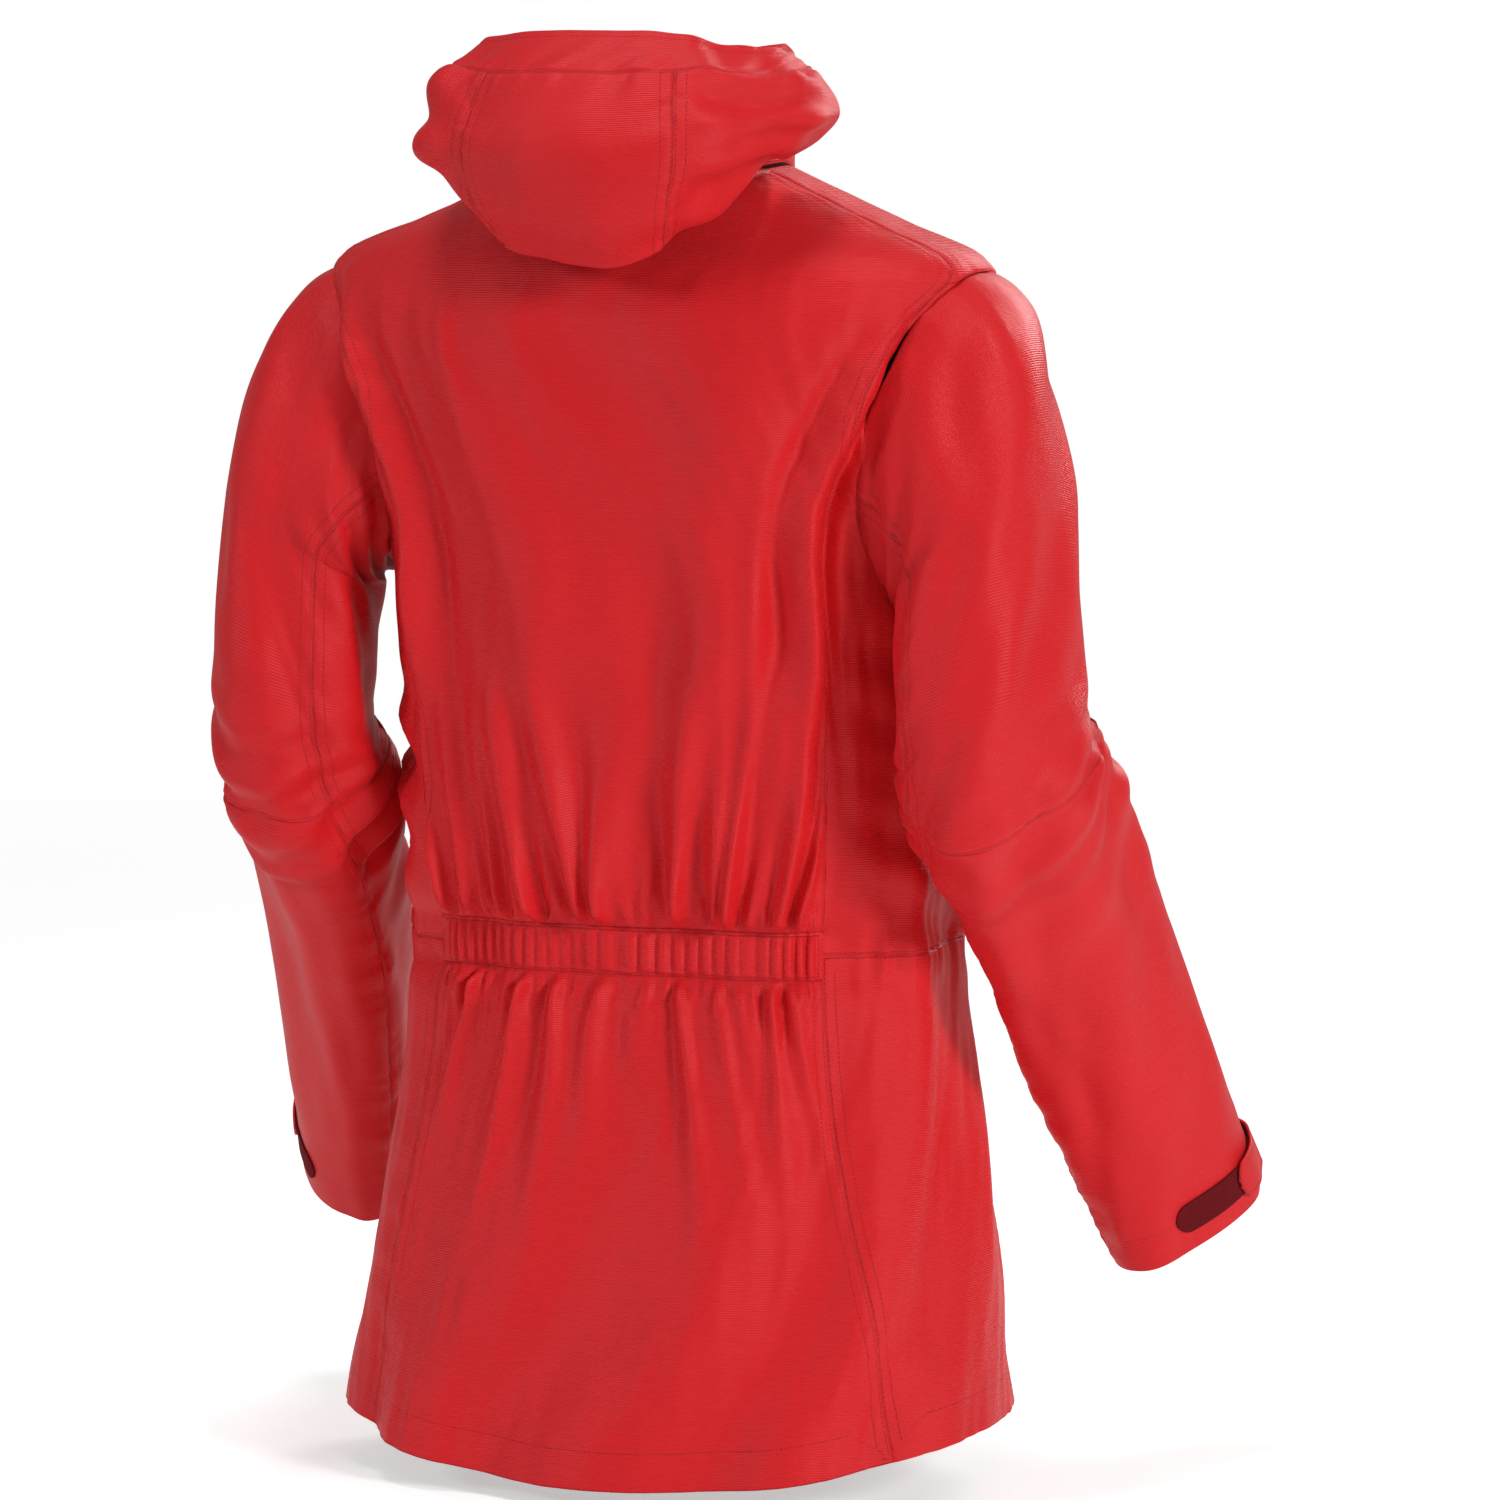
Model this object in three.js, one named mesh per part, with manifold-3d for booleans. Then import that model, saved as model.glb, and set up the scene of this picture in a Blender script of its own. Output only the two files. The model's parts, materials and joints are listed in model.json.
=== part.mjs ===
// Hardshell jacket: panels cut from one body surface, with zips, cuffs and a lowered hood.
// Millimetres, +Z up.
// Heights are counted from the lowest point of the back hem while building; the group then moves
// the origin to the hanger loop inside the back neck. +X is the wearer's left, -Y the wearer's front.
import * as THREE from "three";
import Module from "manifold-3d";
import { mergeVertices } from "three/addons/utils/BufferGeometryUtils.js";

const wasm = await Module();
wasm.setup();

// ---- overall sizes ----
const backLength = 810; // back hem to the neck seam at the side of the neck
const hemHalfWidth = 212;
const waistHalfWidth = 178;
const chestHalfWidth = 170;
const shoulderHalfWidth = 214;
const neckHalfWidth = 78;
const hemDrop = 30; // how far the back hem hangs below the sides
const waistBottom = 313;
const waistTop = 343;
const chestHeight = 560;
const shoulderHeight = 744;
const frontSlope = 0.11; // forward run of the straight front edge per unit of drop
const frontAtHem = -196;
const collarHeight = 74;

// ---- cloth and seams ----
const clothThickness = 2;
const seamGap = 0.35; // half of the gap between two sewn panels
const curvedGap = 0.225; // further gap per millimetre of cloth where a seam runs round a curve
const layerGap = 0.6; // between cloth layers that lie on each other
const facingGap = 3; // behind panels that are curved and jointed
const frontEdge = 8; // from the centre front to each front panel's edge

// ---- sleeves ----
const armholeCentre = 655;
const armholeHalfHeight = 92;
const armholeBackSpan = 34; // degrees of the body's section
const armholeFrontSpan = 35;
const sleeveGap = 1.2;
const elbowFlex = 40;
const elbowPivotForward = 25;
const elbowGap = 0.8; // from the elbow's parting plane to each half of the sleeve
const elbowSpare = 1.5; // degrees that each half of the notch opens beyond the bend

// ---- zips ----
const tapeReach = 13;
const tapeThickness = 1;
const coilWidth = 2.9;
const coilHeight = 2.1;
const sliderClearance = 0.45;
const sliderLength = 13;
const pullLength = 34;
const zipBottom = 36;
const pocketBottom = 122;
const pocketTop = 302;
const pocketHalfGap = 8;

// ---- hood ----
const hoodTop = 893;
const hoodBottom = 747;
const hoodHalfWidth = 129;
const hoodReach = 156; // furthest point behind the shoulder line

const rad = Math.PI / 180;
const clamp = (x, low, high) => Math.min(high, Math.max(low, x));
const mix = (a, b, t) => a + (b - a) * t;
const signedPower = (x, power) => Math.sign(x) * Math.abs(x) ** power;

// A line through stations [at, value].
function stations(list) {
  return (at) => {
    let k = 1;
    while (k < list.length - 1 && at > list[k][0]) k += 1;
    const [a, b] = [list[k - 1], list[k]];
    return mix(a[1], b[1], clamp((at - a[0]) / (b[0] - a[0]), 0, 1));
  };
}

// ---- body surface ----
const halfWidth = stations([
  [0, hemHalfWidth],
  [waistBottom, waistHalfWidth],
  [waistTop, waistHalfWidth],
  [450, chestHalfWidth + 1],
  [chestHeight, chestHalfWidth],
  [650, mix(chestHalfWidth, shoulderHalfWidth, 0.55)],
  [720, shoulderHalfWidth],
  [shoulderHeight, shoulderHalfWidth],
  [shoulderHeight + 12, shoulderHalfWidth - 9],
  [backLength, neckHalfWidth],
]);
const backAt = stations([
  [0, 100],
  [waistBottom, 57],
  [waistTop, 57],
  [450, 74],
  [chestHeight, 92],
  [650, 99],
  [720, 94],
  [shoulderHeight, 85],
  [800, 64],
  [900, 70],
]);
const frontAt = (z) => frontAtHem + frontSlope * z;
const squareness = stations([
  [0, 2.4],
  [waistBottom, 2.4],
  [chestHeight, 2.7],
  [shoulderHeight, 2.4],
  [backLength, 2.1],
]);

// Height of the surface where the section named by height crosses the given angle.
function surfaceHeight(angle, height) {
  const s = Math.sin(angle * rad);
  const hem = hemDrop * (1 - Math.max(0, s) ** 2) * clamp(1 - height / waistBottom, 0, 1);
  const toNeck = clamp((height - 700) / (backLength - 700), 0, 1);
  const neck = (-10 * Math.max(0, s) ** 1.5 - 45 * Math.max(0, -s) ** 1.5) * toNeck;
  return height + hem + neck;
}

// Angle 0 is the wearer's left side, 90 the centre back, -90 the centre front.
function bodySurface(angle, height) {
  const c = Math.cos(angle * rad);
  const s = Math.sin(angle * rad);
  const power = 2 / squareness(height);
  const back = backAt(surfaceHeight(90, height));
  const front = frontAt(surfaceHeight(-90, height));
  return new THREE.Vector3(
    halfWidth(height) * signedPower(c, power),
    (back + front) / 2 + ((back - front) / 2) * signedPower(s, power),
    surfaceHeight(angle, height),
  );
}

// Angle of the body's section at a given distance from the centre front.
function frontAngle(distance, height) {
  return -90 + Math.asin((distance / halfWidth(height)) ** (squareness(height) / 2)) / rad;
}
const gapAngle = (height, gap = seamGap) => gap / halfWidth(height) / rad;

// ---- cloth pieces ----
// A closed piece of cloth over a grid. point(u, v) is its outer face, u and v from 0 to 1; inset moves the
// whole piece inwards along the normal. inside is a point on the inner side, or a function that gives one.
// rows and columns are counts, or lists of the values of u and v to use.
function spread(lines) {
  return Array.isArray(lines) ? lines : Array.from({ length: lines + 1 }, (_, k) => k / lines);
}
function cloth(rowLines, columnLines, point, inside, thickness = clothThickness, inset = 0) {
  const step = 1e-3;
  const position = [];
  const [us, vs] = [spread(rowLines), spread(columnLines)];
  const [rows, columns] = [us.length - 1, vs.length - 1];
  for (let i = 0; i <= rows; i += 1) {
    for (let j = 0; j <= columns; j += 1) {
      const [u, v] = [us[i], vs[j]];
      const here = point(u, v);
      const du = point(Math.min(1, u + step), v).sub(point(Math.max(0, u - step), v));
      const dv = point(u, Math.min(1, v + step)).sub(point(u, Math.max(0, v - step)));
      const normal = du.cross(dv).normalize();
      const centre = typeof inside === "function" ? inside(here) : inside;
      if (normal.dot(here.clone().sub(centre)) < 0) normal.negate();
      position.push(here.clone().addScaledVector(normal, -inset));
      position.push(here.clone().addScaledVector(normal, -inset - thickness));
    }
  }
  const at = (i, j, layer) => (i * (columns + 1) + j) * 2 + layer;
  const faces = [];
  const quad = (a, b, c, d) => faces.push(a, b, c, a, c, d);
  for (let i = 0; i < rows; i += 1) {
    for (let j = 0; j < columns; j += 1) {
      quad(at(i, j, 0), at(i + 1, j, 0), at(i + 1, j + 1, 0), at(i, j + 1, 0));
      quad(at(i, j, 1), at(i, j + 1, 1), at(i + 1, j + 1, 1), at(i + 1, j, 1));
    }
  }
  for (let i = 0; i < rows; i += 1) {
    quad(at(i, 0, 0), at(i, 0, 1), at(i + 1, 0, 1), at(i + 1, 0, 0));
    quad(at(i, columns, 0), at(i + 1, columns, 0), at(i + 1, columns, 1), at(i, columns, 1));
  }
  for (let j = 0; j < columns; j += 1) {
    quad(at(0, j, 0), at(0, j + 1, 0), at(0, j + 1, 1), at(0, j, 1));
    quad(at(rows, j, 0), at(rows, j, 1), at(rows, j + 1, 1), at(rows, j + 1, 0));
  }
  let volume = 0;
  for (let k = 0; k < faces.length; k += 3) {
    const [a, b, c] = [position[faces[k]], position[faces[k + 1]], position[faces[k + 2]]];
    volume += a.dot(b.clone().cross(c));
  }
  if (volume < 0) {
    for (let k = 0; k < faces.length; k += 3) {
      [faces[k + 1], faces[k + 2]] = [faces[k + 2], faces[k + 1]];
    }
  }
  const geometry = new THREE.BufferGeometry().setFromPoints(position);
  geometry.setIndex(faces);
  geometry.computeVertexNormals();
  return geometry;
}

// The same piece on the other side of the jacket.
function mirrored(geometry) {
  const other = (geometry.index ? geometry.toNonIndexed() : geometry.clone());
  const place = other.getAttribute("position");
  for (let i = 0; i < place.count; i += 3) {
    const corner = [0, 1, 2].map((k) => new THREE.Vector3().fromBufferAttribute(place, i + k));
    [corner[0], corner[2], corner[1]].forEach((p, k) => place.setXYZ(i + k, -p.x, p.y, p.z));
  }
  other.computeVertexNormals();
  return other;
}

const jacket = new THREE.Group();
jacket.name = "hardshell_jacket";
const finish = {
  shell: { color: 0xd9353a, roughness: 0.55 },
  lining: { color: 0xa8272c, roughness: 0.7 },
  elastic: { color: 0x8c2024, roughness: 0.8 },
  zip: { color: 0x9c2327, roughness: 0.6 },
  metal: { color: 0x8d9094, roughness: 0.35, metalness: 0.9 },
  loop: { color: 0x7c1c20, roughness: 0.95 },
};
function add(name, geometry, kind) {
  const mesh = new THREE.Mesh(geometry, new THREE.MeshStandardMaterial(finish[kind]));
  mesh.name = name;
  jacket.add(mesh);
}
function addPair(name, geometry, kind) {
  add(name + "_left", geometry, kind);
  add(name + "_right", mirrored(geometry), kind);
}
const bodyInside = (p) => new THREE.Vector3(p.x * 0.3, -50, Math.min(p.z, 740));

// ---- seam lines of the body, as angles ----
const backSeam = stations([
  [0, 36],
  [waistBottom, 49],
  [waistTop, 49],
  [450, 44],
  [chestHeight, 42],
  [670, 42],
  [700, 38],
  [725, 29],
  [shoulderHeight, 19.5],
  [shoulderHeight + 8, 17.6],
  [backLength, 17.6],
]);
const sideSeam = stations([
  [0, -38],
  [waistTop, -38],
  [chestHeight, -42],
  [640, -42],
  [700, -36],
  [741, -22.5],
  [752, -24.3],
  [backLength, -24.3],
]);
const yokeBackSeam = 17;
const yokeFrontSeam = -23.7;

// The armhole's edge on the body: turn 0 at the shoulder tip, 90 at the back, 180 at the armpit.
function armhole(turn, grow = 0) {
  const s = Math.sin(turn * rad);
  const c = Math.cos(turn * rad);
  const height = armholeCentre + (armholeHalfHeight + grow) * signedPower(c, 0.8);
  const span = s > 0 ? armholeBackSpan : armholeFrontSpan;
  const lean = mix(5, 0, (height - 563) / 184);
  return [lean + (span + grow * 0.3) * signedPower(s, 0.8), height];
}

// Rows shared by neighbouring panels, so that both sides of a seam bend at the same heights.
const backRows = [397, 450, 505, chestHeight, 615, 670, 700, 725];
const neckRows = [752, 771, 790];
const frontRows = [400, 480, chestHeight, 600, 640, 670, 700, 720];
const pocketRows = [0, 60, pocketBottom, pocketBottom + 4, 210, pocketTop - 4, pocketTop, waistBottom];
const shares = (heights) => {
  const [low, high] = [heights[0], heights[heights.length - 1]];
  return heights.map((h) => (h - low) / (high - low));
};

// ---- back ----
function backPanel(low, high) {
  return (u, v) => {
    const height = mix(low, high, u);
    const edge = backSeam(height) + gapAngle(height);
    return bodySurface(mix(edge, 180 - edge, v), height);
  };
}
const waistHalfGap = 0.4;
add(
  "back_panel_upper",
  cloth(
    shares([waistTop + waistHalfGap, ...backRows, shoulderHeight, ...neckRows, backLength]),
    12,
    backPanel(waistTop + waistHalfGap, backLength),
    bodyInside,
  ),
  "shell",
);
add("back_panel_lower", cloth(5, 12, backPanel(0, waistBottom - waistHalfGap), bodyInside), "shell");
add(
  "waistband_casing",
  cloth(1, 12, backPanel(waistBottom + waistHalfGap, waistTop - waistHalfGap), bodyInside),
  "shell",
);
add(
  "waist_elastic",
  cloth(1, 12, backPanel(waistBottom + 3, waistTop - 3), bodyInside, 1.5, clothThickness + layerGap),
  "elastic",
);

// ---- sides ----
const sideWaist = (waistBottom + waistTop) / 2;
addPair(
  "side_panel_lower",
  cloth(
    shares([...pocketRows, sideWaist - waistHalfGap]),
    6,
    (u, v) => {
      const height = mix(0, sideWaist - waistHalfGap, u);
      const opening = height > pocketBottom && height < pocketTop ? pocketHalfGap : seamGap;
      return bodySurface(
        mix(sideSeam(height) + gapAngle(height, opening), backSeam(height) - gapAngle(height), v),
        height,
      );
    },
    bodyInside,
  ),
  "shell",
);
const sideLow = sideWaist + waistHalfGap;
const shoulderDrop = 0.75 * clothThickness; // the cloth turns inwards this far above the panel's tip
const sideBorder = [
  ...[shoulderHeight - shoulderDrop, ...backRows.toReversed(), waistTop, sideLow].map((h) => [
    backSeam(h) - gapAngle(h, seamGap + curvedGap * clothThickness),
    h,
  ]),
  ...[35, 20, 5, -10, -25].map((angle) => [angle, sideLow]),
  ...[sideLow, waistTop, ...frontRows].map((h) => [sideSeam(h) + gapAngle(h, 0.6), h]),
  [sideSeam(741) + gapAngle(741, 3), 737],
];
// Where each of those border points meets the armhole: level with it, then fanned out below the armpit.
const borderTurns = [
  ...[22.5, 46, 66, 84, 110, 125, 135, 142, 148, 153, 157],
  ...[163, 170, 178, 187, 195],
  ...[203, 207, 212, 218, 230, 241, 264, 276, 293, 309, 331.5],
];
addPair(
  "side_panel_upper",
  cloth(
    4,
    sideBorder.length - 1,
    (u, v) => {
      const along = v * (sideBorder.length - 1);
      const k = Math.min(sideBorder.length - 2, Math.floor(along));
      const inner = armhole(mix(borderTurns[k], borderTurns[k + 1], along - k), 1.5);
      const outer = [0, 1].map((i) => mix(sideBorder[k][i], sideBorder[k + 1][i], along - k));
      return bodySurface(mix(inner[0], outer[0], u), mix(inner[1], outer[1], u));
    },
    bodyInside,
  ),
  "shell",
);

// ---- fronts ----
addPair(
  "front_panel",
  cloth(
    shares([
      ...[...pocketRows, waistTop],
      ...frontRows,
      ...[741, ...neckRows, backLength],
    ]),
    6,
    (u, v) => {
      const height = mix(0, backLength, u);
      const opening = height > pocketBottom && height < pocketTop ? pocketHalfGap : seamGap;
      return bodySurface(
        mix(frontAngle(frontEdge, height), sideSeam(height) - gapAngle(height, opening), v),
        height,
      );
    },
    bodyInside,
  ),
  "shell",
);

// ---- shoulder yokes ----
addPair(
  "shoulder_yoke",
  cloth(
    shares([742, ...neckRows, backLength]),
    5,
    (u, v) => {
      const low = armhole(mix(-26.6, 20.6, v), 1.5);
      const high = [mix(yokeFrontSeam, yokeBackSeam, v), backLength];
      return bodySurface(mix(low[0], high[0], u), mix(low[1], high[1], u));
    },
    bodyInside,
  ),
  "shell",
);

// ---- collar ----
function collarSurface(angle, rise) {
  const base = surfaceHeight(angle, backLength);
  const z = base + 1 + rise * (collarHeight - 1);
  const back = backAt(800) + 6 * rise;
  const front = frontAt(z);
  const c = Math.cos(angle * rad);
  const s = Math.sin(angle * rad);
  return new THREE.Vector3(
    (neckHalfWidth + 3 * rise) * signedPower(c, 0.93),
    (back + front) / 2 + ((back - front) / 2) * signedPower(s, 0.93),
    z,
  );
}
const collarEdge = -90 + Math.asin((frontEdge / neckHalfWidth) ** 1.075) / rad;
const collarArc = (low, high, edge) => (u, v) => collarSurface(mix(edge, 180 - edge, v), mix(low, high, u));
const neckInside = (p) => new THREE.Vector3(0, -18, p.z);
add("collar_outer", cloth(2, 30, collarArc(0, 1, collarEdge), neckInside), "shell");
add(
  "collar_lining",
  cloth(2, 30, collarArc(0.02, 0.97, collarEdge + 9), neckInside, 1.5, clothThickness + layerGap),
  "lining",
);

// ---- inner trim ----
add(
  "neck_facing",
  cloth(
    3,
    10,
    (u, v) => {
      const height = mix(700, backLength - 4, u);
      return bodySurface(mix(28, 152, v), height);
    },
    bodyInside,
    1.5,
    clothThickness + facingGap,
  ),
  "lining",
);
add(
  "hem_facing",
  cloth(
    1,
    34,
    (u, v) => {
      const height = mix(2, 24, u);
      const edge = frontAngle(24, height);
      return bodySurface(mix(edge, 180 - edge, v), height);
    },
    bodyInside,
    1.5,
    clothThickness + facingGap,
  ),
  "lining",
);

// ---- hanger loop: a tape whose ends are sewn inside the back neck ----
const loopCentre = new THREE.Vector3(0, backAt(800) - 15, 799);
const loopWidth = 62;
const loopDrop = 12;
const loopTape = 4;
const loopShape = new THREE.Shape();
loopShape.absarc(-loopWidth / 2 + loopDrop, 0, loopDrop, Math.PI / 2, (Math.PI * 3) / 2, false);
loopShape.absarc(loopWidth / 2 - loopDrop, 0, loopDrop, -Math.PI / 2, Math.PI / 2, false);
const loopHole = new THREE.Path();
loopHole.absarc(-loopWidth / 2 + loopDrop, 0, loopDrop - loopTape, Math.PI / 2, (Math.PI * 3) / 2, false);
loopHole.absarc(loopWidth / 2 - loopDrop, 0, loopDrop - loopTape, -Math.PI / 2, Math.PI / 2, false);
loopShape.holes.push(loopHole);
const loopGeometry = new THREE.ExtrudeGeometry(loopShape, {
  depth: 1.6,
  bevelEnabled: false,
  curveSegments: 6,
});
loopGeometry.rotateX(Math.PI / 2);
loopGeometry.translate(loopCentre.x, loopCentre.y + 0.8, loopCentre.z);
add("hanger_loop", loopGeometry, "elastic");

// ---- zips ----
// A frame on a straight zip: x across, y into the jacket, z up along the teeth.
function zipFrame(bottom, top, inward) {
  const up = top.clone().sub(bottom).normalize();
  const across = inward.clone().cross(up).normalize();
  const into = up.clone().cross(across).normalize();
  return new THREE.Matrix4().makeBasis(across, into, up).setPosition(bottom);
}
function placed(geometry, frame) {
  return geometry.applyMatrix4(frame);
}
function bar(x0, x1, y0, y1, z0, z1) {
  const block = new THREE.BoxGeometry(x1 - x0, y1 - y0, z1 - z0);
  return block.translate((x0 + x1) / 2, (y0 + y1) / 2, (z0 + z1) / 2);
}
const coilFace = 0.3; // outer face of the coils below the cloth's outer face
const tapeFace = coilFace + coilHeight + 1.3;
function slider() {
  const outer = coilWidth + 0.3 + sliderClearance + 1.5;
  const inner = coilWidth + 0.3 + sliderClearance;
  const legEnd = coilFace + coilHeight;
  const shape = new THREE.Shape();
  shape.moveTo(-outer, coilFace - sliderClearance - 1.6);
  shape.lineTo(outer, coilFace - sliderClearance - 1.6);
  shape.lineTo(outer, legEnd);
  shape.lineTo(inner, legEnd);
  shape.lineTo(inner, coilFace - sliderClearance);
  shape.lineTo(-inner, coilFace - sliderClearance);
  shape.lineTo(-inner, legEnd);
  shape.lineTo(-outer, legEnd);
  shape.closePath();
  const body = new THREE.ExtrudeGeometry(shape, { depth: sliderLength, bevelEnabled: false });
  return body.translate(0, 0, -sliderLength / 2);
}
const plateFace = coilFace - sliderClearance - 1.6;
const windowHeight = 2.8;
function sliderBridge() {
  const shape = new THREE.Shape();
  shape.moveTo(-5, 0);
  shape.lineTo(-5, windowHeight + 1);
  shape.lineTo(5, windowHeight + 1);
  shape.lineTo(5, 0);
  shape.lineTo(4, 0);
  shape.lineTo(4, windowHeight);
  shape.lineTo(-4, windowHeight);
  shape.lineTo(-4, 0);
  shape.closePath();
  const bridge = new THREE.ExtrudeGeometry(shape, { depth: 3, bevelEnabled: false });
  return bridge.applyMatrix4(
    new THREE.Matrix4()
      .makeBasis(new THREE.Vector3(0, 0, 1), new THREE.Vector3(0, -1, 0), new THREE.Vector3(1, 0, 0))
      .setPosition(-1.5, plateFace + 0.02, 0),
  );
}
const pullPivot = plateFace - windowHeight / 2;
function pull(length) {
  const shape = new THREE.Shape();
  shape.moveTo(-4.2, 1);
  shape.lineTo(4.2, 1);
  shape.lineTo(4.2, -8);
  shape.lineTo(3.4, -length);
  shape.lineTo(-3.4, -length);
  shape.lineTo(-4.2, -8);
  shape.closePath();
  const hole = new THREE.Path();
  hole.moveTo(-2.6, -1);
  hole.lineTo(-2.6, -7);
  hole.lineTo(2.6, -7);
  hole.lineTo(2.6, -1);
  hole.closePath();
  shape.holes.push(hole);
  const plate = new THREE.ExtrudeGeometry(shape, { depth: 1.2, bevelEnabled: false });
  return plate.applyMatrix4(
    new THREE.Matrix4()
      .makeBasis(new THREE.Vector3(1, 0, 0), new THREE.Vector3(0, 0, 1), new THREE.Vector3(0, -1, 0))
      .setPosition(0, pullPivot + 0.6, 0),
  );
}


function solid(geometry) {
  const bare = geometry.index ? geometry.toNonIndexed() : geometry.clone();
  bare.deleteAttribute("normal");
  bare.deleteAttribute("uv");
  const merged = mergeVertices(bare, 1e-4);
  return new wasm.Manifold(
    new wasm.Mesh({
      numProp: 3,
      vertProperties: new Float32Array(merged.getAttribute("position").array),
      triVerts: new Uint32Array(merged.index.array),
    }),
  );
}
function joined(...geometries) {
  const mesh = wasm.Manifold.union(geometries.map(solid)).getMesh();
  const geometry = new THREE.BufferGeometry();
  geometry.setAttribute("position", new THREE.BufferAttribute(new Float32Array(mesh.vertProperties), 3));
  geometry.setIndex(new THREE.BufferAttribute(new Uint32Array(mesh.triVerts), 1));
  geometry.computeVertexNormals();
  return geometry;
}
const wholeSlider = () => joined(slider(), sliderBridge());

// Main zip, on the straight front edge.
const zipTop = surfaceHeight(-90, backLength) + collarHeight - 3;
const frontPoint = (z) => new THREE.Vector3(0, frontAt(z), z);
const mainFrame = zipFrame(frontPoint(zipBottom), frontPoint(zipTop), new THREE.Vector3(0, 1, 0));
const mainLength = frontPoint(zipTop).distanceTo(frontPoint(zipBottom));
const closedAt = mainLength - sliderLength / 2 - 4;
addPair(
  "zip_tape",
  placed(bar(0.5, tapeReach, tapeFace, tapeFace + tapeThickness, 0, mainLength), mainFrame),
  "zip",
);
addPair(
  "zip_coil",
  placed(bar(0.3, 0.3 + coilWidth, coilFace, coilFace + coilHeight, 3, mainLength - 1), mainFrame),
  "zip",
);
const shifted = (frame, along) => frame.clone().multiply(new THREE.Matrix4().makeTranslation(0, 0, along));
add("main_slider", placed(wholeSlider(), shifted(mainFrame, closedAt)), "metal");
add("main_pull", placed(pull(pullLength), shifted(mainFrame, closedAt)), "metal");
add("zip_bottom_stop", placed(bar(-4.6, 4.6, coilFace, tapeFace - 0.1, -5, 2.6), mainFrame), "metal");
const placketFace = tapeFace + tapeThickness + layerGap;
const placketReach = 17;
const placketTop = mainLength - collarHeight - 12;
add(
  "storm_placket",
  placed(bar(-placketReach, placketReach, placketFace, placketFace + 1.6, 6, placketTop), mainFrame),
  "lining",
);

// Hand-pocket zips, on the straight side seams of the skirt.
const pocketEnd = (height) => bodySurface(sideSeam(height), height);
const pocketAcross = bodySurface(sideSeam(200) + 3, 200).sub(bodySurface(sideSeam(200) - 3, 200)).setZ(0);
const pocketInward = new THREE.Vector3(0, 0, 1).cross(pocketAcross).normalize();
const pocketFrame = zipFrame(pocketEnd(pocketBottom + 4), pocketEnd(pocketTop - 4), pocketInward);
const pocketLength = pocketEnd(pocketTop - 4).distanceTo(pocketEnd(pocketBottom + 4));
const pocketClosed = pocketLength - sliderLength / 2 - 3;
const pocketTapeFace = tapeFace + 1;
const pocketCoilReach = 0.3 + coilWidth;
addPair(
  "pocket_zip_tape",
  placed(
    bar(-tapeReach, tapeReach, pocketTapeFace, pocketTapeFace + tapeThickness, -6, pocketLength + 6),
    pocketFrame,
  ),
  "zip",
);
addPair(
  "pocket_zip_coil",
  placed(
    bar(-pocketCoilReach, pocketCoilReach, coilFace, coilFace + coilHeight, 0, pocketLength),
    pocketFrame,
  ),
  "zip",
);
addPair("pocket_slider", placed(wholeSlider(), shifted(pocketFrame, pocketClosed)), "metal");
addPair("pocket_pull", placed(pull(pullLength - 8), shifted(pocketFrame, pocketClosed)), "metal");
addPair(
  "pocket_bag",
  cloth(
    4,
    4,
    (u, v) => bodySurface(mix(-74, -31, v), mix(96, 296, u)),
    bodyInside,
    1,
    12,
  ),
  "lining",
);

// ---- sleeves ----
const armPath = new THREE.CatmullRomCurve3(
  [
    [224, 22, 576],
    [231, 26, 481],
    [235, 12, 436],
    [240, -27, 394],
    [253, -92, 308],
    [274, -150, 212],
    [290, -190, 140],
  ].map((p) => new THREE.Vector3(...p)),
);
const elbowAt = 2 / 6;
// Half width sideways, half width front to back and turn of the section, from upper arm to cuff.
const sleeveSide = stations([[0, 49], [elbowAt, 50], [0.66, 42], [1, 32]]);
const sleeveDepth = stations([[0, 64], [elbowAt, 69], [0.66, 62], [1, 57]]);
const sleeveTurn = stations([[0, 10], [elbowAt, 22], [0.66, 30], [1, 34]]);
function sleeveAxes(along) {
  const down = armPath.getTangent(along);
  const side = new THREE.Vector3(1, 0, 0).addScaledVector(down, -down.x).normalize();
  const back = side.clone().cross(down).normalize();
  const t = sleeveTurn(along) * rad;
  return {
    down,
    side: side.clone().multiplyScalar(Math.cos(t)).addScaledVector(back, Math.sin(t)),
    back: back.clone().multiplyScalar(Math.cos(t)).addScaledVector(side, -Math.sin(t)),
  };
}
// Turn 0 is the outer side, 90 the back, 180 the inner side, 270 the front.
function sleeveSurface(turn, along, tilt = 0) {
  const { down, side, back } = sleeveAxes(along);
  const c = signedPower(Math.cos(turn * rad), 0.9);
  const s = signedPower(Math.sin(turn * rad), 0.9);
  return armPath
    .getPoint(along)
    .addScaledVector(side, sleeveSide(along) * c)
    .addScaledVector(back, sleeveDepth(along) * s)
    .addScaledVector(down, -tilt * c);
}
const elbow = armPath.getPoint(elbowAt);
const elbowDown = sleeveAxes(elbowAt).down;
const elbowForward = new THREE.Vector3(0, elbowDown.z, -elbowDown.y).normalize();
const elbowPivot = elbow.clone().addScaledVector(elbowForward, elbowPivotForward);
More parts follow.
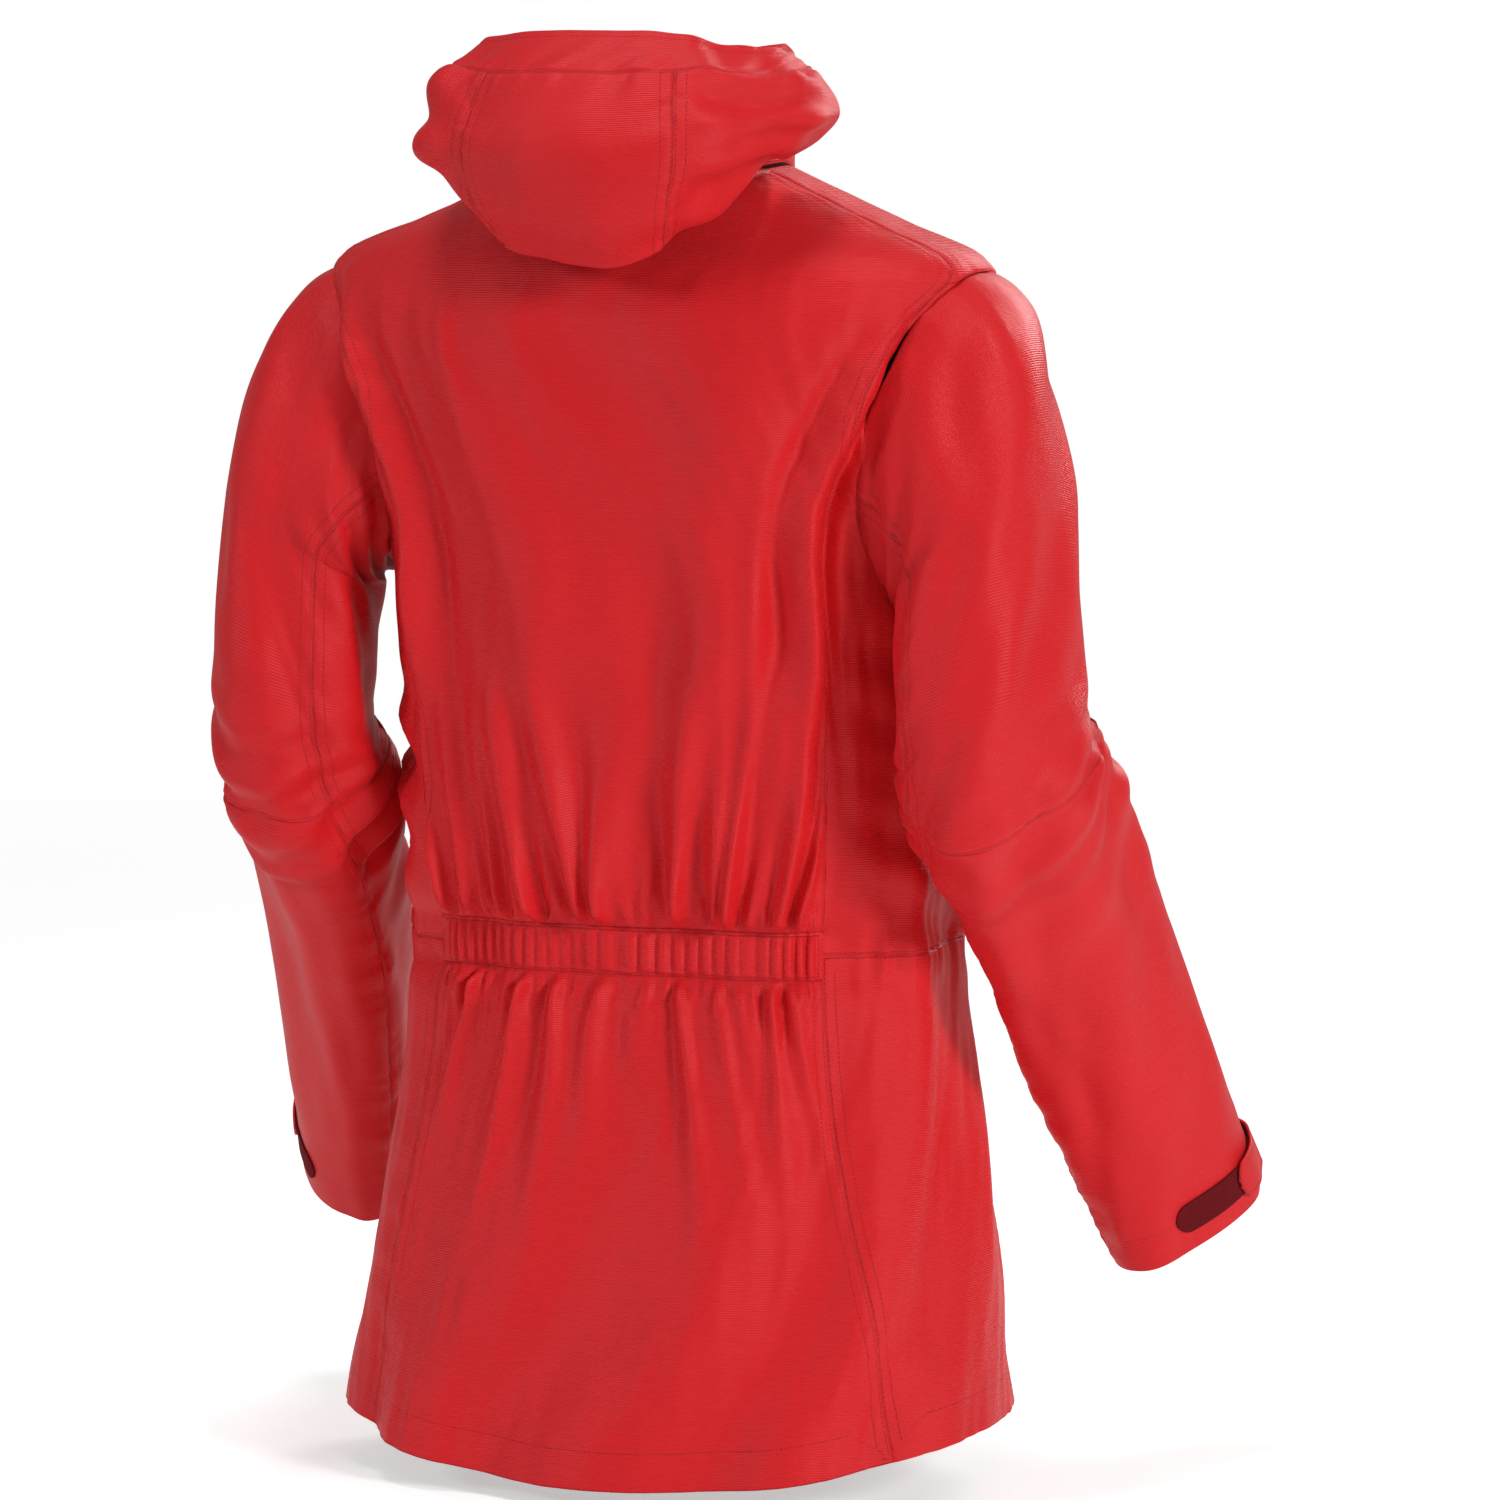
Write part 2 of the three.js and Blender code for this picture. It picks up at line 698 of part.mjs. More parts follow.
// Cuts the sleeve back in front of the elbow's hinge line, so that the two halves can close on each other.
function elbowNotch(point, way) {
  const ahead = Math.max(0, point.clone().sub(elbowPivot).dot(elbowForward));
  const slant = Math.tan((elbowFlex / 2 + elbowSpare) * rad);
  return point.addScaledVector(elbowDown, way * (elbowGap + ahead * slant));
}
const capShare = 0.5;
function upperSleeve(turn, u) {
  const ring = (along) => sleeveSurface(turn, along, 26 * (1 - along / elbowAt));
  if (u < capShare) {
    const t = u / capShare;
    const [angle, height] = armhole(turn < 0 ? turn + 360 : turn, 0);
    const start = bodySurface(angle, height);
    const outward = start.clone().sub(bodyInside(start)).setZ(0).normalize();
    start.addScaledVector(new THREE.Vector3(1, 0, 0), sleeveGap);
    const end = ring(0);
    const reach = start.distanceTo(end);
    const c = Math.cos(turn * rad);
    const leave = new THREE.Vector3(1, 0, -0.45).addScaledVector(outward, 0.4).normalize();
    leave.multiplyScalar(reach * mix(0.5, 0.85, (c + 1) / 2));
    const arrive = sleeveAxes(0).down.clone().multiplyScalar(reach * mix(0.5, 1.1, (c + 1) / 2));
    const [t2, t3] = [t * t, t * t * t];
    return start
      .multiplyScalar(2 * t3 - 3 * t2 + 1)
      .addScaledVector(leave, t3 - 2 * t2 + t)
      .addScaledVector(end, 3 * t2 - 2 * t3)
      .addScaledVector(arrive, t3 - t2);
  }
  const t = (u - capShare) / (1 - capShare);
  const point = ring(elbowAt * t);
  return t > 0.999 ? elbowNotch(point, -1) : elbowNotch(point.clone(), -1).lerp(point, 1 - t ** 3);
}
function foreSleeve(turn, u, low = elbowAt, high = 1) {
  const along = mix(low, high, u);
  const point = sleeveSurface(turn, along);
  const t = (along - elbowAt) / (1 - elbowAt);
  return elbowNotch(point.clone(), 1).lerp(point, 1 - (1 - t) ** 6);
}
const upperInside = (p) => {
  const middle = armPath.getPoint(clamp((576 - p.z) / 420, 0, elbowAt));
  return middle.setX(Math.min(p.x + 200, 222));
};
const foreInside = (p) => {
  let best = elbowAt;
  for (let k = elbowAt; k <= 1; k += 0.04) {
    if (armPath.getPoint(k).distanceTo(p) < armPath.getPoint(best).distanceTo(p)) best = k;
  }
  return armPath.getPoint(best);
};
const sleeveBackSeam = 112;
const sleeveFrontSeam = 246;
const sleeveSeam = 0.5; // degrees
const outerTurn = (v) => mix(sleeveFrontSeam - 360 + sleeveSeam, sleeveBackSeam - sleeveSeam, v);
const underTurn = (v) => mix(sleeveBackSeam + sleeveSeam, sleeveFrontSeam - sleeveSeam, v);
addPair(
  "sleeve_outer",
  cloth(9, 12, (u, v) => upperSleeve(outerTurn(v), u), upperInside),
  "shell",
);
addPair(
  "sleeve_under",
  cloth(9, 8, (u, v) => upperSleeve(underTurn(v), u), upperInside),
  "shell",
);
addPair(
  "forearm_outer",
  cloth(8, 12, (u, v) => foreSleeve(outerTurn(v), u), foreInside),
  "shell",
);
addPair(
  "forearm_under",
  cloth(8, 8, (u, v) => foreSleeve(underTurn(v), u), foreInside),
  "shell",
);
addPair(
  "cuff_facing",
  cloth(1, 14, (u, v) => foreSleeve(mix(-96, 258, v), u, 0.93, 0.995), foreInside, 1, clothThickness + 1.4),
  "lining",
);
addPair(
  "cuff_loop_patch",
  cloth(2, 6, (u, v) => foreSleeve(mix(-78, 24, v), u, 0.9, 0.965), foreInside, 1.2, -1.2 - 0.8),
  "loop",
);
addPair(
  "cuff_tab",
  cloth(2, 8, (u, v) => foreSleeve(mix(-122, -22, v), u, 0.885, 0.98), foreInside, 2.2, -1.2 - 1.4 - 2.2),
  "shell",
);

// ---- hood, lying behind the neck with its opening up ----
const hoodCentre = 815;
const hoodSide = stations([[0, 92], [0.25, 118], [0.46, hoodHalfWidth], [0.75, 118], [1, 99]]);
const hoodBack = stations([[0, 118], [0.25, 149], [0.46, hoodReach], [0.75, 139], [1, 102]]);
// Round 0 is the left end, 90 the centre back, 180 the right end; rise runs from the lower fold to the rim.
function hoodSurface(round, rise) {
  const s = Math.sin(round * rad);
  const ends = Math.abs(Math.cos(round * rad)) ** 2.2;
  const low = mix(hoodBottom, hoodCentre - 3, ends);
  const high = mix(hoodTop, hoodTop - 14, ends);
  return new THREE.Vector3(
    hoodSide(rise) * signedPower(Math.cos(round * rad), 0.85),
    20 + (hoodBack(rise) - 20) * Math.abs(s) ** 0.85,
    mix(low, high, rise),
  );
}
const hoodInside = (p) => new THREE.Vector3(0, 0, p.z);
const hoodSeamRound = 61;
const hoodRimRise = 0.83;
addPair(
  "hood_side",
  cloth(6, 7, (u, v) => hoodSurface(mix(0, hoodSeamRound, v), mix(0.04, hoodRimRise, u)), hoodInside),
  "shell",
);
add(
  "hood_centre_panel",
  cloth(
    6,
    7,
    (u, v) => hoodSurface(mix(hoodSeamRound + 0.4, 179.6 - hoodSeamRound, v), mix(0.04, hoodRimRise, u)),
    hoodInside,
  ),
  "shell",
);
add(
  "hood_rim",
  cloth(2, 20, (u, v) => hoodSurface(mix(0, 180, v), mix(hoodRimRise + 0.005, 1, u)), hoodInside, 3),
  "shell",
);
const hoodLiningSide = neckHalfWidth + 23 - 2 * clothThickness;
const hoodLiningReach = hoodReach - 45 - 2 * clothThickness;
function hoodLining(round, rise) {
  const outer = hoodSurface(round, mix(0.1, 0.8, rise));
  const s = Math.abs(Math.sin(round * rad)) ** 0.85;
  return new THREE.Vector3(
    (hoodLiningSide - 5 * rise) * signedPower(Math.cos(round * rad), 0.85),
    20 + (hoodLiningReach - 11 * rise - 20) * s,
    outer.z,
  );
}
add(
  "hood_lining",
  cloth(4, 20, (u, v) => hoodLining(mix(1, 179, v), u), hoodInside, 1.5),
  "lining",
);
// The neck of the hood: a strip from the collar seam to the hood's lower fold.
add(
  "hood_nape",
  cloth(
    2,
    16,
    (u, v) => {
      const round = mix(14, 166, v);
      const s = Math.sin(round * rad);
      const c = Math.cos(round * rad);
      const reach = neckHalfWidth + 5;
      const start = new THREE.Vector3(reach * signedPower(c, 0.9), -18 + 88 * s ** 0.9, 809 - 6 * s);
      const end = new THREE.Vector3(96 * signedPower(c, 0.85), 20 + 74 * s ** 0.85, 809 - 10 * s);
      return start.lerp(end, u);
    },
    (p) => p.clone().add(new THREE.Vector3(0, 0, -30)),
    1.5,
  ),
  "lining",
);

jacket.position.copy(loopCentre).negate();
export default jacket;
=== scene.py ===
"""Looks of a long hardshell jacket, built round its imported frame.

Metres, +Z up, -Y to the front, +X to the wearer's left.
"""

import json
import math

import bmesh
import bpy
import numpy as np
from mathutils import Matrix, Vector


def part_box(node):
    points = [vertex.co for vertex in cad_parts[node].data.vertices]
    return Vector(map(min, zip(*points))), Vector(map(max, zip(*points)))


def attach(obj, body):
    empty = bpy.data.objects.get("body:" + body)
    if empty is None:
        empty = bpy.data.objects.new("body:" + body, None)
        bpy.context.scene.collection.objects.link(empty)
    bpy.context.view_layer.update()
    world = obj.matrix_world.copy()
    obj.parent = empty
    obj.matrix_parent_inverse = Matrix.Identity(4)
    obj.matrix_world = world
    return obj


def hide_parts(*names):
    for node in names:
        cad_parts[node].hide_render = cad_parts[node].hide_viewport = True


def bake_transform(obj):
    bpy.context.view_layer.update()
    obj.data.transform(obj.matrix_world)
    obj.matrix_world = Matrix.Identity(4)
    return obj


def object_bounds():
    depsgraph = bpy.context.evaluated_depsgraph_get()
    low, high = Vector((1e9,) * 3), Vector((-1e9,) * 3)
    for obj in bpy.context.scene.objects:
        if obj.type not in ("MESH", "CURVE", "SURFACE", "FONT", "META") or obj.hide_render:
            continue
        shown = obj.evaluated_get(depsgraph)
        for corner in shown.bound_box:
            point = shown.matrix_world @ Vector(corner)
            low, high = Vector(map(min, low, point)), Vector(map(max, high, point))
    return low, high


bl_info = {
    "name": "Hardshell jacket",
    "version": (1, 0, 0),
    "blender": (4, 5, 0),
    "location": "3D View > Sidebar > Jacket",
    "description": "Builds the visible pieces of a long hardshell jacket on its frame",
    "category": "Add Mesh",
}

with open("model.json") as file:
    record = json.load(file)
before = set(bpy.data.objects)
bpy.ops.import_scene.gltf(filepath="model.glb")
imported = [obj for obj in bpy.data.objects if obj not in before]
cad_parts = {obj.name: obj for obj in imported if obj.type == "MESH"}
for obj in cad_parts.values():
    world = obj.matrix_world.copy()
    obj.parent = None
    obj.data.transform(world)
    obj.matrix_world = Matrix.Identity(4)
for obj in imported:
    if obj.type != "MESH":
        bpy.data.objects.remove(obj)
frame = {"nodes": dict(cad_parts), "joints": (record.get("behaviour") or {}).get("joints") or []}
frame_bounds = [list(corner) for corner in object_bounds()]

SIDES = {"left": 1, "right": -1}
CLOTH = 0.0007  # thickness of the shell cloth
TUCK = 0.0006  # how far a lower sewn edge goes under its neighbour


# ---------------------------------------------------------------- curves and noise
def stations(*pairs):
    """A smooth curve through (at, value) pairs that doesn't overshoot between them."""
    x, y = (np.array(c, float) for c in zip(*pairs))
    h, slope = np.diff(x), np.diff(y) / np.diff(x)
    m = np.zeros(len(x))
    m[0], m[-1] = slope[0], slope[-1]
    for k in range(1, len(x) - 1):
        a, b = slope[k - 1], slope[k]
        if a * b > 0:
            w1, w2 = 2 * h[k] + h[k - 1], h[k] + 2 * h[k - 1]
            m[k] = (w1 + w2) / (w1 / a + w2 / b)

    def curve(at):
        at = np.clip(at, x[0], x[-1])
        k = np.clip(np.searchsorted(x, at, side="right") - 1, 0, len(h) - 1)
        t = (at - x[k]) / h[k]
        return (
            (2 * t**3 - 3 * t**2 + 1) * y[k]
            + (t**3 - 2 * t**2 + t) * h[k] * m[k]
            + (3 * t**2 - 2 * t**3) * y[k + 1]
            + (t**3 - t**2) * h[k] * m[k + 1]
        )

    return curve


def power(x, p):
    return np.sign(x) * np.abs(x) ** p


def mix(a, b, t):
    return a + (b - a) * t


def smooth(x, low, high):
    """0 below low, 1 above high, and smooth between them."""
    t = np.clip((x - low) / (high - low), 0, 1)
    return t * t * (3 - 2 * t)


def bump(x, centre, width):
    return np.exp(-(((x - centre) / width) ** 2))


def ripple(x, wavelength, seed, spread=0.3, waves=6):
    """An uneven wave along x, about -1 to 1."""
    rng = np.random.RandomState(seed)
    total = 0.0
    for _ in range(waves):
        f = (1 + spread * rng.uniform(-1, 1)) / wavelength
        total = total + np.sin(2 * math.pi * (x * f + rng.uniform()))
    return total / math.sqrt(waves) * 0.8


def billow(x, y, size_x, size_y, seed, waves=9):
    """Soft uneven ground over x and y, about -1 to 1."""
    rng = np.random.RandomState(seed)
    total = 0.0
    for _ in range(waves):
        turn, f = rng.uniform(-0.75, 0.75), rng.uniform(0.55, 1.3)
        wave = x / size_x * math.cos(turn) + y / size_y * math.sin(turn)
        total = total + np.sin(2 * math.pi * (wave * f + rng.uniform()))
    return total / math.sqrt(waves) * 0.8


# ---------------------------------------------------------------- sizes read from the frame
def low_of(node):
    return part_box(node)[0]


def high_of(node):
    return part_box(node)[1]


HEM_Z = low_of("back_panel_lower").z
WAIST_LOW = low_of("waistband_casing").z - HEM_Z
WAIST_TOP = high_of("waistband_casing").z - HEM_Z
WAIST = 0.328  # the waist seam of the side panels
HEM_HALF = high_of("side_panel_lower_left").x
NECK = 0.810
SHOULDER = 0.744
SHOULDER_HALF = high_of("shoulder_yoke_left").x + 0.0035
NECK_HALF = high_of("collar_outer").x - 0.003
BACK_SHIFT = low_of("hanger_loop").y + 0.0008

half_width = stations(
    (0, HEM_HALF),
    (0.16, mix(HEM_HALF, 0.178, 0.53)),
    (WAIST_LOW, 0.178),
    (WAIST_TOP, 0.178),
    (0.45, 0.171),
    (0.56, 0.171),
    (0.65, 0.194),
    (0.72, SHOULDER_HALF - 0.001),
    (SHOULDER, SHOULDER_HALF - 0.001),
    (0.756, 0.205),
    (0.775, 0.160),
    (NECK, NECK_HALF),
)
back_y = stations(
    (0, 0.051),
    (0.16, 0.029),
    (WAIST_LOW, 0.008),
    (WAIST_TOP, 0.008),
    (0.45, 0.025),
    (0.56, 0.043),
    (0.65, 0.050),
    (0.72, 0.045),
    (SHOULDER, 0.036),
    (0.80, 0.015),
    (0.90, 0.021),
)
squareness = stations((0, 2.4), (WAIST_LOW, 2.4), (0.56, 2.7), (SHOULDER, 2.4), (NECK, 2.1))
back_seam = stations(
    (0, 36), (WAIST_LOW, 49), (WAIST_TOP, 49), (0.45, 44), (0.56, 42), (0.67, 42),
    (0.70, 38), (0.725, 29), (SHOULDER, 19.5), (0.752, 17.4), (NECK, 17.4),
)
side_seam = stations(
    (0, -38), (WAIST_TOP, -38), (0.56, -42), (0.64, -42), (0.70, -36),
    (0.741, -24.4), (0.752, -24.0), (NECK, -24.0),
)


def front_y(z):
    return -0.245 + 0.11 * z


def section_z(angle, h):
    """Height above the back hem where the section named h crosses the angle."""
    s = np.sin(np.radians(angle))
    hem = 0.030 * (1 - np.maximum(0, s) ** 2) * np.clip(1 - h / WAIST_LOW, 0, 1)
    neck = (-0.010 * np.maximum(0, s) ** 1.5 - 0.045 * np.maximum(0, -s) ** 1.5) * smooth(h, 0.69, NECK)
    return h + hem + neck


def body_base(angle, h):
    """The smooth body surface. Angle 0 is the wearer's left, 90 the centre back, -90 the centre front."""
    angle, h = np.broadcast_arrays(np.asarray(angle, float), np.asarray(h, float))
    c, s, p = np.cos(np.radians(angle)), np.sin(np.radians(angle)), 2 / squareness(h)
    back, front = back_y(section_z(90, h)), front_y(section_z(-90, h))
    return np.stack(
        [
            half_width(h) * power(c, p),
            (back + front) / 2 + (back - front) / 2 * power(s, p),
            section_z(angle, h) + HEM_Z,
        ],
        -1,
    )


def unit(v):
    return v / np.maximum(np.linalg.norm(v, axis=-1, keepdims=True), 1e-12)


def body_normal(angle, h):
    da = body_base(angle + 0.5, h) - body_base(angle - 0.5, h)
    dh = body_base(angle, h + 0.003) - body_base(angle, h - 0.003)
    return unit(np.cross(da, dh))


# The armhole's edge: turn 0 at the shoulder tip, 90 at the back, 180 at the armpit, 270 at the front.
ARM_Z, ARM_HALF = 0.655, 0.092


def armhole(turn, grow=0.0):
    s, c = np.sin(np.radians(turn)), np.cos(np.radians(turn))
    h = ARM_Z + (ARM_HALF + grow) * power(c, 0.8)
    span = np.where(s > 0, 34, 35) + grow * 300
    return mix(5, 0, (h - 0.563) / 0.184) + span * power(s, 0.8), h


def pleats(x, d, seed, count, span, length, height):
    """Single folds that start at an edge, d 0, and fade away from it, spread over -span to span along x."""
    rng = np.random.RandomState(seed)
    total = 0.0
    for k in range(count):
        at = span * (2 * (k + 0.5 + rng.uniform(-0.32, 0.32)) / count - 1)
        reach = length * rng.uniform(0.45, 1.25)
        lean = 0.20 * at / span * rng.uniform(0.4, 1.5) + rng.uniform(-0.07, 0.07)
        width = 0.0034 + rng.uniform(0.030, 0.065) * d
        line = at + lean * d + 0.0016 * np.sin(d / rng.uniform(0.020, 0.05) + rng.uniform(0, 6))
        fade = smooth(d, 0.0, 0.010) * np.clip(1 - d / reach, 0, 1) ** 1.2
        side = (x - line) / width
        ridge = np.exp(-(side**2)) - 0.55 * np.exp(-((side - rng.choice([-1, 1]) * 1.5) ** 2))
        total = total + height * rng.uniform(0.55, 1.25) * fade * ridge
    return total


def gathered(x, d, seed):
    """Fine puffs right beside an elastic edge, dying out within a few centimetres."""
    crowded = x + 0.0012 * ripple(d, 0.02, seed + 5) * smooth(d, 0.0, 0.01)
    fine = np.abs(ripple(crowded, 0.0172, 21, 0.10, 4)) ** 0.7 - 0.42
    return 0.0052 * fine * mix(0.28, 1.0, smooth(d, 0.0, 0.007)) * np.exp(-d / 0.017)


def body_folds(angle, h):
    """How far the cloth stands off the smooth body surface."""
    half_back = 0.135
    x = (angle - 90) / (90 - back_seam(h)) * half_back
    across = half_width(h) * np.radians(angle)
    inside = smooth(half_back - np.abs(x), -0.001, 0.012)
    above, below = np.maximum(h - WAIST_TOP, 0), np.maximum(WAIST_LOW - h, 0)
    band = (h >= WAIST_LOW) & (h <= WAIST_TOP)
    rows = np.abs(h - (WAIST_LOW + WAIST_TOP) / 2) / ((WAIST_TOP - WAIST_LOW) / 2)
    puff = np.abs(ripple(x, 0.0172, 21, 0.10, 4)) ** 0.7 - 0.42
    on_band = 0.0052 * puff * mix(1.0, 0.28, smooth(rows, 0.62, 1.0)) + 0.0014 * (1 - rows**2)
    up = gathered(x, above, 21) + pleats(x, above, 41, 26, half_back, 0.085, 0.0040)
    up = up + pleats(x, above, 42, 11, half_back * 0.95, 0.26, 0.0098)
    lean = x * (1 - 0.9 * np.minimum(above, 0.35)) + 0.008 * ripple(above, 0.16, 44)
    up = up + 0.0074 * ripple(lean, 0.066, 43, 0.3) * bump(above, 0.15, 0.12) * smooth(above, 0.0, 0.04)
    down = gathered(x, below, 21) + pleats(x, below, 51, 24, half_back, 0.065, 0.0036)
    down = down + pleats(x, below, 52, 9, half_back * 0.95, 0.22, 0.0080)
    out = inside * np.where(band, on_band, np.where(h > WAIST_TOP, up, down))
    out = out * (1 - smooth(h, 0.62, 0.75))
    # the cloth blouses over the elastic above and below
    back = smooth(np.sin(np.radians(angle)), 0.2, 0.75)
    out = out + back * 0.0085 * (above / 0.03) * np.exp(1 - above / 0.03)
    out = out + back * 0.0055 * (below / 0.025) * np.exp(1 - below / 0.025)
    # the cloth beside each armhole hangs in an upright fold
    folded = 90 - np.abs(angle - 90)
    tall = smooth(h, 0.44, 0.56) * (1 - smooth(h, 0.68, 0.745))
    gap = (folded - mix(40, 30, smooth(h, 0.6, 0.72))) * 0.0034 + 0.003 * ripple(h, 0.22, 61)
    out = out + tall * (-0.0105 * bump(gap, 0.004, 0.009) + 0.0095 * bump(gap, 0.026, 0.014)) * (folded > 0)
    out = out + tall * -0.0060 * bump(gap, 0.056, 0.012) * (folded > 0)
    # slow drape all over, longer than wide
    out = out + 0.0052 * billow(across, h, 0.14, 0.60, 3) * smooth(h, 0.02, 0.1) * (1 - smooth(h, 0.66, 0.76))
    fade = (1 - smooth(h, 0.70, 0.77)) * mix(0.5, 1.0, smooth(h, 0.1, 0.3))
    out = out + 0.0018 * billow(across, h, 0.060, 0.26, 4) * fade
    out = out + 0.0004 * billow(across, h, 0.018, 0.05, 5) * (1 - smooth(h, 0.72, 0.78))
    # the flank creases across under the arm and at the waist
    flank = smooth(np.abs(np.cos(np.radians(angle))), 0.66, 0.93)
    out = out + flank * 0.0062 * ripple(h + 0.22 * across, 0.050, 6) * bump(h, 0.43, 0.075)
    out = out + flank * 0.0014 * ripple(across, 0.024, 7) * bump(h, WAIST, 0.018)
    # the skirt swings in wide soft folds
    out = out + 0.0080 * ripple(across + 0.02 * ripple(h, 0.3, 62), 0.125, 8, 0.3) * (1 - smooth(h, 0.02, 0.26))
    front = smooth(-np.sin(np.radians(angle)), 0.35, 0.8)
    near_zip = smooth(folded + 90, 1.5, 16.0)
    beside = bump((folded - side_seam(h)) * np.radians(half_width(h)), 0.0, 0.020)
    near_zip = near_zip * (1 - 0.85 * beside * smooth(h, 0.08, 0.12) * (1 - smooth(h, 0.31, 0.34)))
    return out * mix(1.0, 0.55, front) * near_zip


def body_surface(angle, h, inset=0.0):
    angle, h = np.broadcast_arrays(np.asarray(angle, float), np.asarray(h, float))
    return body_base(angle, h) + body_normal(angle, h) * (body_folds(angle, h) - inset)[..., None]


# ---------------------------------------------------------------- cloth pieces
def spaced(length, step, fine=True):
    """Lines from 0 to 1 over a length, about a step apart, with close ones at both ends."""
    count = max(2, int(round(length / step)))
    t = np.linspace(0, 1, count + 1)
    if fine:
        ends = np.array([0.0006, 0.0014, 0.0026]) / length
        t = np.concatenate([t[(t < 1e-9) | (t > 0.0036 / length)], ends])
        t = np.concatenate([t[(t > 1 - 1e-9) | (t < 1 - 0.0036 / length)], 1 - ends])
    return np.unique(np.round(t, 9))


def grid_mesh(name, points, flip, attributes):
    """A grid of faces through points, an array of rows, columns and coordinates."""
    rows, columns = points.shape[:2]
    bm = bmesh.new()
    bmesh.ops.create_grid(bm, x_segments=rows - 1, y_segments=columns - 1, size=0.5)
    bm.verts.ensure_lookup_table()
    flat_grid = np.array([v.co for v in bm.verts])
    i = np.rint((flat_grid[:, 0] + 0.5) * (rows - 1)).astype(int)
    j = np.rint((flat_grid[:, 1] + 0.5) * (columns - 1)).astype(int)
    if flip:
        bmesh.ops.reverse_faces(bm, faces=bm.faces)
    mesh = bpy.data.meshes.new(name)
    bm.to_mesh(mesh)
    bm.free()
    mesh.vertices.foreach_set("co", points[i, j].astype(np.float32).ravel())
    for key, values in attributes.items():
        layer = mesh.attributes.new(key, "FLOAT", "POINT")
        layer.data.foreach_set("value", np.broadcast_to(values, (rows, columns))[i, j].astype(np.float32))
    mesh.shade_smooth()
    mesh.update()
    obj = bpy.data.objects.new(name, mesh)
    bpy.context.scene.collection.objects.link(obj)
    return obj


def cloth_piece(
    name, points, inside, materials, seams="", rows=None,
    thickness=CLOTH, pucker=1.0, grain=None, groove=0.0004, tuck=0.0,
):
    """One panel of cloth over a grid of points.

    inside is a point, or points, on the inner side. seams names the edges that are sewn: a and b at the
    first and last row, c and d at the first and last column. rows gives, for an edge, its two stitch distances.
    tuck is how far the sewn edges go under their neighbours.
    """
    rows = rows or {}
    du, dv = np.gradient(points, axis=0), np.gradient(points, axis=1)
    normal = unit(np.cross(du, dv))
    outward = np.sum(normal * (points - inside), -1).mean() > 0
    if not outward:
        normal = -normal
    step_u = np.linalg.norm(np.diff(points, axis=0), axis=-1)
    step_v = np.linalg.norm(np.diff(points, axis=1), axis=-1)
    along_u = np.concatenate([np.zeros((1, points.shape[1])), np.cumsum(step_u, 0)])
    along_v = np.concatenate([np.zeros((points.shape[0], 1)), np.cumsum(step_v, 1)], 1)
    far = np.full(points.shape[:2], 1.0)
    from_edge = {
        "a": (along_u, along_v),
        "b": (along_u[-1:] - along_u, along_v),
        "c": (along_v, along_u),
        "d": (along_v[:, -1:] - along_v, along_u),
    }
    nearest = far.copy()
    lift = np.zeros_like(far)
    for k, edge in enumerate(seams):
        d, s = from_edge[edge]
        nearest = np.minimum(nearest, d)
        lift += 0.00055 * pucker * np.exp(-d / 0.007) * ripple(s, 0.011, 40 + k + len(name), 0.45)
        lift += 0.0009 * pucker * np.exp(-d / 0.016) * ripple(s, 0.037, 60 + k + len(name), 0.45)
    lift *= smooth(nearest, 0.0, 0.0035)
    lift -= groove * np.exp(-((nearest / 0.0013) ** 2)) + tuck * (1 - smooth(nearest, 0.0003, 0.0017))
    stitched, seam_s = far.copy(), np.zeros_like(far)
    row_a, row_b = far * -1, far * -1
    for edge, (first, second) in rows.items():
        d, s = from_edge[edge]
        closer = d < stitched
        stitched, seam_s = np.where(closer, d, stitched), np.where(closer, s, seam_s)
        row_a, row_b = np.where(closer, first, row_a), np.where(closer, second, row_b)
    lift -= 0.00022 * (bump(stitched, row_a, 0.0013) + bump(stitched, row_b, 0.0013))
    points = points + normal * lift[..., None]
    across, down = grain if grain else (along_u, along_v)
    obj = grid_mesh(
        name,
        points,
        not outward,
        {
            "seam_d": stitched,
            "seam_s": seam_s,
            "row_a": row_a,
            "row_b": row_b,
            "cloth_u": across,
            "cloth_v": down,
            "edge_d": nearest,
        },
    )
    for m in materials:
        obj.data.materials.append(m)
    shell = obj.modifiers.new("Thickness", "SOLIDIFY")
    shell.thickness = thickness
    shell.offset = -1
    shell.use_even_offset = False
    shell.use_rim = True
    shell.material_offset = 1 if len(materials) > 1 else 0
    return obj


# ---------------------------------------------------------------- sleeves
ELBOW_PIVOT = np.array(next(j for j in frame["joints"] if j["name"] == "elbow_left")["pos_m"])
ELBOW = ELBOW_PIVOT - 0.025 * np.array([0, -0.86529, 0.50128])
ARM = ELBOW + np.array(
    [
        (-0.011, 0.010, 0.140),
        (-0.004, 0.014, 0.045),
        (0, 0, 0),
        (0.005, -0.039, -0.042),
        (0.018, -0.104, -0.128),
        (0.039, -0.162, -0.224),
        (0.055, -0.202, -0.296),
    ]
)
ELBOW_AT = 2 / 6
sleeve_side = stations((0, 0.049), (ELBOW_AT, 0.050), (0.66, 0.042), (1, 0.032))
sleeve_depth = stations((0, 0.064), (ELBOW_AT, 0.069), (0.66, 0.062), (1, 0.057))
sleeve_turn = stations((0, 10), (ELBOW_AT, 22), (0.66, 30), (1, 34))
BACK_TURN, FRONT_TURN = 112, 246  # the sleeve's two long seams
HALVES_LAP = 0.6  # degrees by which the outer and under halves lap there


